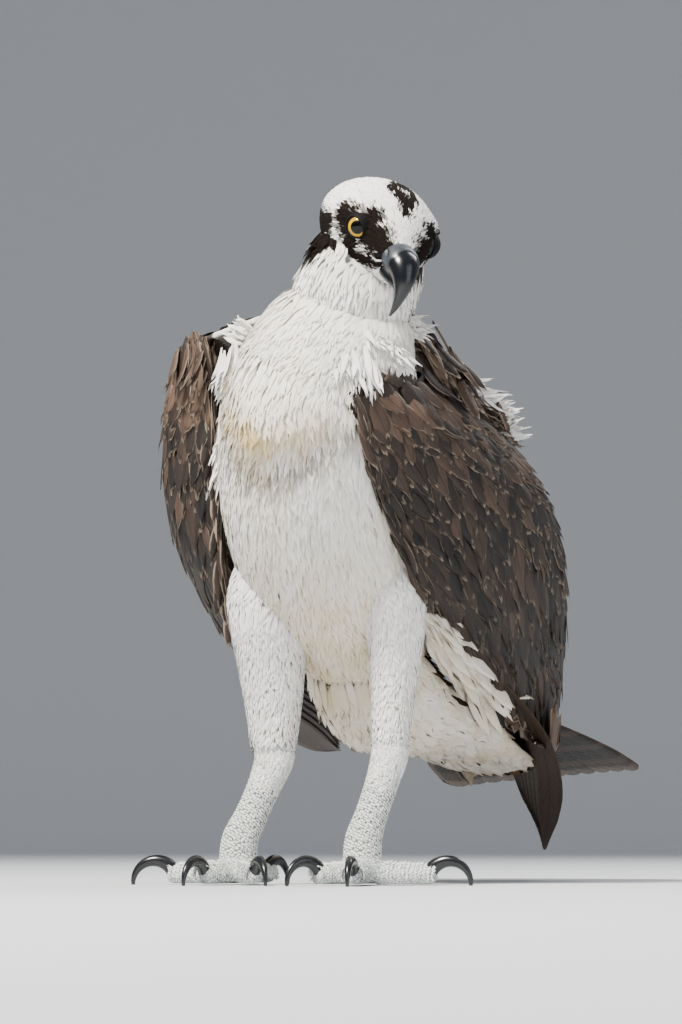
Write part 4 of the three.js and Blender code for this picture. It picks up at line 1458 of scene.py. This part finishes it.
for side in SIGN:
    coverts = join_feathers([wing_coverts(side), wing_rim(side), under_coverts(side)])
    feather_piece("coverts_feathers_" + side, coverts, 0.3, COVERT)
    name, covered = "secondaries_feathers_" + side, ["secondaries_" + side]
    feather_piece(name, secondaries(side), 0.4, FLIGHT, covered, patch=0.02)


# %% Primaries
BLADE_SIDE = np.array([0.78, 0.25, -0.45])


def primary_blades(side, count=7):
    """The folded primaries: blades along one line, each a little behind and beyond the last.

    The line is the smooth curve of the stations; blade k is moved across it by its share of
    the half width, and ends at its own length.
    """
    across, along, flat_x, flat_y = vane_grid(18, 7, LONG_FEATHER["widths"], 0.1)
    spread = BLADE_SIDE * [SIGN[side], 1, 1]
    tops, normals = [], []
    for k in range(count):
        share = k / (count - 1)
        t = flat_y * (0.78 + 0.22 * share)
        row = spline(PRIMARIES[side], t)
        way = unit(spline(PRIMARIES[side], t + 0.01)[..., :3] - spline(PRIMARIES[side], t - 0.01)[..., :3])
        flat = unit(spread - way * (way @ spread)[..., None])
        thick = np.cross(flat, way) * SIGN[side]
        lift = (share - 0.5) * -5.0 + 0.8 * across - 1.0 * across**2
        x = (share - 0.5) * row[..., 3] * 0.8 + flat_x * 9.5 * np.clip(1.25 - 0.4 * along, 0, 1)
        top = row[..., :3] + flat * x[..., None] + thick * lift[..., None]
        tops.append(top)
        normals.append(-unit(np.cross(top[1, 3] - top[0, 3], top[0, 4] - top[0, 3])))
    tops, normals = np.stack(tops), np.stack(normals)
    made = {"top": tops, "normal": normals, "root": tops[:, 0, 3]}
    made.update(u=np.linspace(0.05, 0.9, count), v=np.linspace(0.1, 0.9, count))
    return dress(made, 0.6, 1.0, 0.4)


for side in SIGN:
    name, covered = "primaries_feathers_" + side, ["primaries_" + side]
    feather_piece(name, primary_blades(side), 0.5, FLIGHT, covered, patch=0.05)


# %% Tail
def tail_surface(f, u):
    """The fanned tail: f runs from root to tip and u from its right side to its left.

    The angle turns evenly from one side to the other; the reach grows with f, while the
    fan droops, tilts and arches.
    """
    a = np.radians(TAIL["from"] + (TAIL["to"] - TAIL["from"]) * u)
    reach = TAIL["length"] * (0.12 + 0.88 * f)
    arch = TAIL["arch"] * (1 - (2 * u - 1) ** 2) * f
    x = TAIL["root"][0] + np.sin(a) * reach + (2 * u - 1) * 14
    y = TAIL["root"][1] + np.cos(a) * reach
    z = TAIL["root"][2] - math.tan(math.radians(TAIL["drop"])) * reach
    z = z - (TAIL["droop"] * f**2 - TAIL["tilt"] * (u - 0.5) * f) + arch
    return np.stack([x, y, z], -1)


TAIL_FORM = {"widths": [0.45, 0.6, 0.75, 0.9, 1.0, 1.0, 0.7], "blunt": 0.05}


def tail_feathers():
    """Twelve broad blades, the middle pair on top."""
    count = TAIL["feathers"]
    middles = (np.arange(count) + 0.5) / count
    lift = 2.2 - 4.4 * np.abs(middles - 0.5)
    made = blades(tail_surface, 1.0, middles, 1.5 / count, 0.0, 0.985, TAIL_FORM, (18, 7), 0.0, lift)
    made["normal"] = made["normal"] * np.sign(made["normal"][:, 2]).mean()
    return dress(made, 0.1, 0.6, 0.5, 0.35)


feather_piece("tail_blades", tail_feathers(), 0.6, TAIL_VANE, ["tail_feathers"], patch=0.06)

# %% [markdown]
# ## Loose tufts
#
# At both shoulders and over the front of the left wing the white feathers stand
# up in loose tufts, and brown scapulars cover the top of the wing beside the neck.
# They are the same vanes, set free of the surface along short strokes.


# %% Tufts
def tuft_strip(ends, count, depth, lie, facing, length, width, spread=0.35, curl=0.1):
    """Vanes rooted between two points, scattered by depth, fanned about one direction."""
    ends = np.array(ends, float)
    share = RANDOM.random(count)
    root = ends[0] + (ends[1] - ends[0]) * share[:, None] + RANDOM.normal(0, depth, (count, 3))
    lie = unit(np.array(lie, float) + RANDOM.normal(0, spread, (count, 3)))
    facing = unit(np.array(facing, float) + RANDOM.normal(0, spread, (count, 3)))
    long = length * RANDOM.uniform(0.7, 1.25, count)
    wide = width * RANDOM.uniform(0.8, 1.2, count)
    made = free_vanes(root, lie, facing, long, wide, POINTED, (6, 5), RANDOM.normal(curl, 0.12, count), 0.12)
    made.update(u=share, v=RANDOM.random(count))
    return made


# A strip: its two ends, count, depth, way it lies and faces, length, width, fanning, curl.
WHITE_TUFTS = [
    [[[-37, -32, 308], [-27, -42, 315]], 26, 1.8, [-0.55, -0.2, 0.5], [-0.3, -0.9, 0.4], 12, 4, 0.22],
    [[[-52, -30, 296], [-36, -46, 304]], 110, 2.5, [-0.05, -0.1, -1.0], [-0.5, -0.85, 0.2], 20, 4, 0.16],
    [[[-55, -24, 284], [-50, -30, 240]], 110, 2.5, [0.05, -0.05, -1.0], [-0.5, -0.85, 0.1], 22, 4, 0.14],
    [[[30, -72, 300], [52, -64, 290]], 120, 2.5, [0.22, -0.12, -0.95], [0.3, -0.9, 0.2], 21, 3.4, 0.16, 0.03],
    [[[42, -62, 314], [60, -48, 300]], 110, 2.5, [0.5, 0.05, -0.8], [0.5, -0.7, 0.5], 18, 3.4, 0.2, 0.03],
    [[[52, -36, 322], [62, -26, 312]], 40, 2.0, [0.7, 0.2, -0.6], [0.6, -0.6, 0.5], 14, 4, 0.22],
    [[[64, 12, 294], [76, 76, 276]], 200, 2.5, [0.35, 0.75, -0.25], [0.6, -0.4, 0.8], 16, 4.5, 0.2, 0.03],
    [[[72, 68, 272], [76, 90, 262]], 50, 2.0, [0.7, 0.5, 0.0], [0.5, -0.6, 0.7], 15, 5, 0.22, 0.05],
]
FLANK_TUFTS = [
    [[[46, 12, 176], [50, 92, 138]], 150, 3.0, [0.15, 0.6, -0.8], [0.9, -0.3, -0.1], 34, 9, 0.14, 0.03],
    [[[44, 60, 150], [50, 120, 122]], 90, 3.0, [0.2, 0.7, -0.7], [0.9, -0.3, -0.1], 34, 9, 0.14, 0.03],
]
SCAPULARS = [
    [[[52, -24, 318], [74, 14, 292]], 90, 4.0, [0.45, 0.3, -0.85], [0.7, -0.5, 0.5], 26, 8, 0.12, -0.05],
    [[[60, 0, 300], [70, 70, 280]], 110, 5.0, [0.3, 0.5, -0.8], [0.85, -0.2, 0.5], 32, 9, 0.12, -0.08],
    [[[-57, -44, 305], [-72, -34, 311]], 100, 2.5, [-0.15, 0.1, -1.0], [-0.5, -0.8, 0.45], 22, 8, 0.12, -0.03],
    [[[-72, -34, 310], [-87, -6, 297]], 90, 2.5, [-0.3, 0.3, -0.9], [-0.8, -0.4, 0.5], 22, 8, 0.12, -0.03],
    [[[-62, -28, 306], [-80, 40, 304]], 110, 3.0, [-0.15, 0.4, -0.9], [-0.85, -0.2, 0.4], 24, 8, 0.1, -0.04],
]


def white_tufts():
    """White tufts: right shoulder, over the front of the left wing, along its top edge, beside
    the neck, and the warmer ones of the left flank."""
    made = join_feathers([tuft_strip(*row) for row in WHITE_TUFTS + FLANK_TUFTS])
    n = len(made["root"])
    made["tone"] = RANDOM.uniform(0.55, 1.0, n)
    made["dark"] = np.zeros(n)
    made["warm"] = np.where(np.arange(n) < sum(row[1] for row in WHITE_TUFTS), 0.15, 0.9)
    made["bake"] = np.stack([made["u"], (np.arange(n) + 0.5) / n], 1)
    return made


def mantle_feathers(side, count=620):
    """Brown feathers over the mantle: from the back outwards and down onto the wing."""
    surface = mantle(side)
    turn = np.sign(outward(surface, np.array([0.5]), np.array([0.5]))[0, 2])
    u, v = scatter(surface, count, lambda a, b: 1.0 + 0 * a, (0.0, 1.0), (-0.06, 0.8), 60)
    normal = tangents(surface, u, v, turn)[3]
    lie = unit(surface(u, v + SLOPE_STEP) - surface(u, v)) * 0.3 + np.array([0, 0.8, -0.6])
    lie = swirl(unit(lie - normal * (lie * normal).sum(-1, keepdims=True)), normal, 0.18)
    long = 30 * RANDOM.uniform(0.8, 1.25, count)
    made = drape(surface, u, v, lie, long, long * 0.38, 1.0, 2.2, POINTED, (6, 5), turn, 0.08, 0.5)
    return dress(made, 0.1, 0.8, 0.6)


feather_piece("mantle_feathers", join_feathers([mantle_feathers(side) for side in SIGN]), 0.3, COVERT)
feather_piece("white_tufts", white_tufts(), 0.12, PLUMAGE, soft=0.5)
scapulars = dress(join_feathers([tuft_strip(*row) for row in SCAPULARS]), 0.35, 1.0, 0.9)
feather_piece("scapular_feathers", scapulars, 0.3, COVERT)

# %% [markdown]
# ## Eyes
#
# A bird's eye is a ball with a clear bulge in front. The yellow iris and the black
# pupil are rings of colour round the line of sight, so each point of the ball
# keeps its angle from that line, and the shader turns the angle into colour. Dark
# lids hold the ball at the depth of the real one.


# %% Eye finish
def eye_material():
    """A wet cornea over a yellow iris: colour by the angle from the line of sight, under a
    clear coat that gives the hard highlight of a living eye. The iris has flecks of 1 mm."""
    material, shader = new_material("wet yellow eye")
    angle = node(material, "Attribute", {}, "Fac", attribute_name="angle")
    place = node(material, "TexCoord", {}, "Object")
    flecks = node(material, "TexNoise", {"Vector": place, "Scale": 900.0, "Detail": 2.0})
    rings = [(0.0, "#040303"), (0.29, "#050403"), (0.31, "#7a5e04"), (0.34, "#c9a404")]
    rings += [(0.46, "#b88f03"), (0.51, "#3a2904"), (0.53, "#060504")]
    colour = node(material, "ValToRGB", {0: angle}, stops=rings)
    faint = node(material, "Math", {0: flecks, 1: 0.35}, operation="MULTIPLY")
    iris = {0: faint, 6: colour, 7: srgb("#7a4a08")}
    colour = node(material, "Mix", iris, 2, data_type="RGBA", blend_type="MULTIPLY")
    wire(shader, {"Base Color": colour, "Roughness": 0.35, "Specular IOR Level": 0.05, "IOR": 1.38})
    wire(shader, {"Coat Weight": 0.45, "Coat Roughness": 0.02})
    return material


def lid_material():
    """Bare lid: dry dark skin with fine wrinkles round the eye, drawn 0.7 mm apart."""
    material, shader = new_material("dark bare eyelid skin")
    place = node(material, "TexCoord", {}, "Object")
    grain = node(material, "TexNoise", {"Vector": place, "Scale": 1500.0, "Detail": 3.0})
    colour = node(material, "ValToRGB", {0: grain}, stops=[(0.3, "#030202"), (0.7, "#0a0807")])
    relief = node(material, "Bump", {"Height": grain, "Strength": 0.6, "Distance": 0.0003})
    wire(shader, {"Base Color": colour, "Normal": relief, "Roughness": 0.7, "Specular IOR Level": 0.15})
    return material


EYE_PAINT, LID_PAINT = eye_material(), lid_material()
BALL_RADIUS, LID_RADIUS = 8.0, 6.1


def ring_about(sight, turn):
    """Unit vectors square to the line of sight, one for each angle round it."""
    across = unit(np.cross(UP, sight))
    return across * np.cos(turn)[..., None] + np.cross(sight, across) * np.sin(turn)[..., None]


def eyeball(side):
    """A ball about the line of sight, its front raised a little as a cornea. The right eye's
    pupil is turned further forward."""
    sign = SIGN[side]
    sight = unit(gaze(sign) + (FORWARD * 0.27 + UP * 0.05) * (sign < 0))
    polar, turn = np.meshgrid(np.linspace(0.02, math.pi - 0.02, 60), around(64), indexing="ij")
    radius = BALL_RADIUS + 0.35 * bell(polar, 0, 0.5)
    way = sight * np.cos(polar)[..., None] + ring_about(sight, turn) * np.sin(polar)[..., None]
    points = eye_point(sign) + way * radius[..., None]
    mesh = grid_mesh("eyeball_" + side, metres(points), wrap=True, ends=True)
    store(mesh, "angle", np.append(polar / math.pi * 2, [0.0, 2.0]))
    piece("eyeball_" + side, mesh, EYE_PAINT, ["eye_" + side])


def eyelid(side):
    """The lids: one ring round the eye whose section rises over the ball and falls to the
    skin. The upper half comes further down over the ball, as a stern brow does."""
    sign = SIGN[side]
    base = math.sqrt(BALL_RADIUS**2 - LID_RADIUS**2)
    section = np.array([
        [LID_RADIUS - 0.1, base - 0.9], [LID_RADIUS - 0.25, base + 0.25], [LID_RADIUS + 0.1, base + 0.75],
        [LID_RADIUS + 0.6, base + 0.7], [LID_RADIUS + 1.2, base + 0.0], [LID_RADIUS + 2.0, base - 1.6],
        [LID_RADIUS + 3.0, base - 3.8], [LID_RADIUS + 1.2, base - 4.4],
    ])
    turn = np.arange(72) / 72 * 2 * math.pi
    upper = np.maximum(0, 0.8 * np.sin(turn) - 0.6 * sign * np.cos(turn))
    close = 0.4 * upper + 0.08 * np.maximum(0, -np.sin(turn))
    near = np.array([1, 1, 1, 0.85, 0.5, 0.15, 0, 0])[:, None]
    wrinkle = 0.12 * np.sin(turn * 17) * smoothstep(0.3, 1.0, np.arange(len(section)) / 5)[:, None]
    wide = section[:, 0][:, None]
    r = wide * (1 - near * close[None])
    over = np.sqrt(np.maximum(BALL_RADIUS**2 - r**2, 0)) - np.sqrt(np.maximum(BALL_RADIUS**2 - wide**2, 0))
    h = section[:, 1][:, None] + near * over + 0.1 * upper[None] - 0.5 + wrinkle
    points = eye_point(sign) + gaze(sign) * h[..., None] + ring_about(gaze(sign), turn)[None] * r[..., None]
    points = np.concatenate([points, points[:1]])
    mesh = grid_mesh("eyelid_" + side, metres(points), wrap=True)
    merge_and_orient(mesh)
    soft = piece("eyelid_" + side, mesh, LID_PAINT).modifiers.new("soft", "SUBSURF")
    soft.levels = soft.render_levels = 1


for side in SIGN:
    eyeball(side)
    eyelid(side)
print("eyes at", [np.round(eye_point(k), 1).tolist() for k in (1, -1)])

# %% [markdown]
# ## Bill
#
# The bill is bone under a thin horn sheath: blue-black and polished towards the
# hook, dull grey on the cere at its base, where the slit nostril opens. It is a
# profile carried along a bent path, with the cere's step and the nostril pressed
# in as part of the same function.


# %% Horn
def horn_material(name, base, light):
    """Horn: layered keratin, polished by use, with faint streaks along its growth, 4 mm wide."""
    material, shader = new_material(name)
    place = node(material, "TexCoord", {}, "Object")
    noise = {"Vector": place, "Scale": 260.0, "Detail": 4.0, "Roughness": 0.6}
    streaks = node(material, "TexNoise", noise)
    cere = node(material, "Attribute", {}, "Fac", attribute_name="cere")
    horn = node(material, "ValToRGB", {0: streaks}, stops=[(0.3, base), (0.75, light)])
    waxy = node(material, "ValToRGB", {0: streaks}, stops=[(0.3, "#1d2228"), (0.7, "#353c44")])
    colour = node(material, "Mix", {0: cere, 6: horn, 7: waxy}, 2, data_type="RGBA")
    rough = node(material, "MapRange", {0: cere, 3: 0.24, 4: 0.46})
    relief = node(material, "Bump", {"Height": streaks, "Strength": 0.25, "Distance": 0.0003})
    wire(shader, {"Base Color": colour, "Roughness": rough, "Normal": relief, "IOR": 1.55})
    return material


HORN = horn_material("blue-black horn of the bill", "#030406", "#0c0f14")
CLAW_HORN = horn_material("black horn of the claws", "#07080a", "#1e2023")


def bill_grid(stations, rows, cols):
    """The bill's rings: square to its bent middle line, half wide, above and below reach.

    The sides are pressed a little flat, so that the ridge and the cutting edges are sharper.
    """
    t = np.linspace(0, 1, rows)[:, None] + 0 * np.zeros(cols)[None]
    angle = around(cols)[None] + 0 * t
    row = spline(stations, t)
    slope = spline(stations, np.minimum(t + 0.02, 1)) - spline(stations, np.maximum(t - 0.02, 0))
    lean = np.arctan2(slope[..., 1], slope[..., 0])
    c, s = np.cos(angle), np.sin(angle)
    reach = c * np.where(c > 0, row[..., 3], row[..., 4])
    half = s * row[..., 2] * (1 - 0.05 * (1 - np.abs(s)) * (c > 0))
    return row[..., 0] - np.sin(lean) * reach, half, row[..., 1] + np.cos(lean) * reach


def bill_piece(name, place, cere, ends, replaced):
    """One half of the bill, with how much of the cere's wax each point and each end has."""
    mesh = grid_mesh(name, metres(on_head(*place)), wrap=True, ends=True)
    store(mesh, "cere", np.append(cere, ends))
    merge_and_orient(mesh)
    piece(name, mesh, HORN, [replaced])


def upper_bill():
    """The upper bill with its cere, nostril slits and hook."""
    forward, half, up = bill_grid(UPPER_BILL, 110, 80)
    cere = 1 - smoothstep(41.2, 42.4, forward - 0.25 * np.abs(half))
    swell = 0.45 * cere
    slit = np.exp(-(((forward - 37.6) / 2.6) ** 2) - (((up - 1.4 + 0.35 * (forward - 37.6)) / 0.75) ** 2))
    half = half * (1 + swell / 10) - np.sign(half) * 1.5 * slit
    up = up + np.cos(around(80)) * swell
    bill_piece("upper_bill", (forward, half, up), cere * (1 - 0.8 * slit), [1.0, 0.0], "bill_upper")


def lower_bill():
    """The lower bill, a shallow trough that closes against the upper one."""
    place = bill_grid(LOWER_BILL, 60, 60)
    bill_piece("lower_bill", place, 0 * place[0], [0.0, 0.0], "bill_lower")


upper_bill()
lower_bill()
print("bill done")

# %% [markdown]
# ## Claws and scales
#
# An osprey's claws are round horns bent to a part circle, all four long, to lock
# round slippery prey. Its legs and toes wear a mesh of small raised scales. The
# scales are domes set over the skin, sized by what they cover.

# %% Claws
CLAW = {"base": 4.3, "tip": 0.7, "bend": 12.5, "sweep": 168, "start": 146, "beyond": 7.0, "lift": 1.2}


def claw_grid(side, toe, rows=44, cols=20):
    """A horn round an arc: its middle turns by the sweep while its radius shrinks to the tip."""
    _, end, way, across = toe_line(side, toe)
    centre = end + way * CLAW["beyond"] + np.array([0, 0, CLAW["lift"]])
    t = np.linspace(0, 1, rows)[:, None]
    angle = np.radians(CLAW["start"] - CLAW["sweep"] * t)
    away = way * np.cos(angle)[..., None] + np.array([0, 0, 1.0]) * np.sin(angle)[..., None]
    turn = around(cols)[None]
    r = between((CLAW["base"], CLAW["tip"]), t**1.15)
    middle = centre + away * CLAW["bend"]
    points = middle + across * (np.sin(turn) * r * 0.85)[..., None] + away * (np.cos(turn) * r)[..., None]
    points[..., 2] = np.maximum(points[..., 2], 0.0)
    return points


for side in SIGN:
    for toe in TOES:
        name = "horn_claw_%s_%s" % (side, toe)
        mesh = grid_mesh(name, metres(claw_grid(side, toe)), wrap=True, ends=True)
        merge_and_orient(mesh)
        piece(name, mesh, CLAW_HORN, ["claw_%s_%s" % (side, toe)])
print("claws done")


# %% Scales
def scale_material():
    """Leg scales: dry keratin plates, grey-white, dusty in patches of some 11 mm."""
    material, shader = new_material("grey-white leg scales")
    tone = node(material, "Attribute", {}, "Fac", attribute_name="tone")
    place = node(material, "TexCoord", {}, "Object")
    dirt = node(material, "TexNoise", {"Vector": place, "Scale": 90.0, "Detail": 4.0})
    greys = [(0.0, "#b9bfbd"), (0.6, "#d9dcd8"), (1.0, "#eceee9")]
    colour = node(material, "ValToRGB", {0: tone}, stops=greys)
    dusty = node(material, "Math", {0: dirt, 1: 0.3}, operation="MULTIPLY")
    colour = node(material, "Mix", {0: dusty, 6: colour, 7: srgb("#9a9d95")}, 2, data_type="RGBA")
    relief = node(material, "Bump", {"Height": dirt, "Strength": 0.3, "Distance": 0.0004})
    wire(shader, {"Base Color": colour, "Normal": relief, "Roughness": 0.62})
    return material


SCALE_PAINT = scale_material()
SCALE = {"widths": [0.45, 0.95, 1.0, 0.5], "blunt": 0.3}


def scales(surface, count, long, wide, u_range, v_range, cell):
    """Domed scales over a leg or a toe, each overlapping the next one down."""
    u, v, lie = roots(surface, count, lambda u, v: 1.0 + 0 * u, 0.12, u_range, v_range, cells=60)
    long = long * RANDOM.uniform(0.85, 1.15, count)
    wide = wide * RANDOM.uniform(0.9, 1.15, count)
    made = drape(surface, u, v, lie, long, wide, 0.5, 0.3, SCALE, camber=0.16, loose=0.1)
    return finish_group(keep(made, clearance(made["root"]) > -0.6), 0, 0, cell=cell)


def toe_plates(surface, cell, count=12):
    """Broad plates in one row along the top of a toe."""
    u, v = np.linspace(0.28, 0.93, count), np.zeros(count)
    tip, root = surface(np.array([1.0, 0.0]), np.zeros(2))
    lie = np.tile(unit(tip - root), (count, 1))
    long, wide = np.full(count, 4.4), np.full(count, 8.0)
    made = drape(surface, u, v, lie, long, wide, 0.4, 0.9, SCALE, camber=0.12, loose=0.0)
    return finish_group(made, 0, 0, (-1.9, 1.9), cell)


def foot_scales(side):
    """Mesh scales round the leg, and smaller ones and broad plates over each toe."""
    corner = 0.0 if side == "left" else 0.5
    leg_cell = (corner, 0, corner + 0.5, 0.6)
    groups = [scales(tube(TARSI[side]), 1700, 2.5, 2.3, (0.0, 0.97), FULL_TURN, leg_cell)]
    for k, toe in enumerate(TOES):
        cell = (corner + 0.12 * k, 0.62, corner + 0.12 * k + 0.1, 0.98)
        surface = toe_surface(side, toe)
        groups.append(scales(surface, 260, 2.4, 2.3, (0.2, 0.97), (-2.0, 2.0), cell))
        groups.append(toe_plates(surface, cell))
    return join_feathers(groups)


for side in SIGN:
    feather_piece("leg_scales_" + side, foot_scales(side), 0.3, SCALE_PAINT)

# %% [markdown]
# ## Finish of the skin
#
# The skin shows only between feathers and on the feet. Each point of it carries
# the same markings as the coat over it, and a number that says where it is bare.


# %% Skin finish
def skin_points():
    """The skin's points in the bird's millimetres."""
    flat = np.empty(len(skin.data.vertices) * 3, np.float32)
    skin.data.vertices.foreach_get("co", flat)
    return flat.reshape(-1, 3) * 1000 - SHIFT


def in_wing(points):
    """1 for points in a wing: outside the trunk's side, below the shoulder and above the feet."""
    x, y, z = points.T
    left = (x > 55) & (z > 60)
    right = (x < -60) & (z > 60)
    back = (y > 100) & (z > 60) & (np.abs(x - 10) > 36)
    tips = (y > 225)
    return (left | right | back | tips).astype(float)


def skin_marks():
    """dark: the brown parts. bare: the scaly feet."""
    points = skin_points()
    head = np.linalg.norm(points - HEAD_AT, axis=-1) < 48
    back = (points[:, 1] > 34 + 0.35 * (240 - points[:, 2])) & (points[:, 2] > 120)
    back |= (points[:, 1] > 2) & (points[:, 2] > 235)
    dark = np.maximum(in_wing(points), back.astype(float))
    store(skin.data, "dark", np.where(head, head_dark(points), dark))
    store(skin.data, "bare", (1 - smoothstep(70, 84, points[:, 2])) * (points[:, 1] < 60))


def skin_material():
    """Skin: white down between white feathers, brown down between brown ones, and grey
    pebbled hide on the feet, with scales drawn by a cell pattern of 1.9 mm. The down is
    drawn in wisps of some 2.4 mm."""
    material, shader = new_material("downy and scaly skin")
    place = node(material, "TexCoord", {}, "Object")
    cells = {"Vector": place, "Scale": 1 / 0.0019}
    cells = node(material, "TexVoronoi", cells, "Distance", feature="DISTANCE_TO_EDGE")
    groove = node(material, "MapRange", {0: cells, 1: 0.0, 2: 0.14})
    fluff = node(material, "TexNoise", {"Vector": place, "Scale": 420.0, "Detail": 4.0})
    dark, bare = (node(material, "Attribute", {}, "Fac", attribute_name=k) for k in ("dark", "bare"))
    down_white = node(material, "ValToRGB", {0: fluff}, stops=[(0.3, "#cfccc6"), (0.7, "#efede9")])
    down_brown = node(material, "ValToRGB", {0: fluff}, stops=[(0.3, "#1b140f"), (0.7, "#3b2d22")])
    greys = [(0.0, "#7d8584"), (0.6, "#bfc5c3"), (1.0, "#d3d7d4")]
    hide = node(material, "ValToRGB", {0: groove}, stops=greys)
    colour = node(material, "Mix", {0: dark, 6: down_white, 7: down_brown}, 2, data_type="RGBA")
    colour = node(material, "Mix", {0: bare, 6: colour, 7: hide}, 2, data_type="RGBA")
    pebbles = node(material, "Math", {0: groove, 1: bare}, operation="MULTIPLY")
    wisps = node(material, "Math", {0: fluff, 1: 0.5}, operation="MULTIPLY")
    height = node(material, "Math", {0: pebbles, 1: wisps}, operation="ADD")
    relief = node(material, "Bump", {"Height": height, "Strength": 0.7, "Distance": 0.0006})
    wire(shader, {"Base Color": colour, "Normal": relief, "Roughness": 0.75})
    return material


skin_marks()
skin.data.materials.append(skin_material())
print("skin painted")

# %% The skin's place, and the record
FLESH = ["breast", "belly", "neck", "head", "tail_base"]
for side in SIGN:
    FLESH += [part + "_" + side for part in ("shank", "tarsus", "foot", "coverts")]
    FLESH += ["toe_%s_%s" % (side, toe) for toe in TOES]
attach(skin, "root")
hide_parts(*FLESH)
model_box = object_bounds()
for title, box in (("box now", model_box), ("cad", cad_box)):
    print(title, [[round(k, 4) for k in c] for c in box])
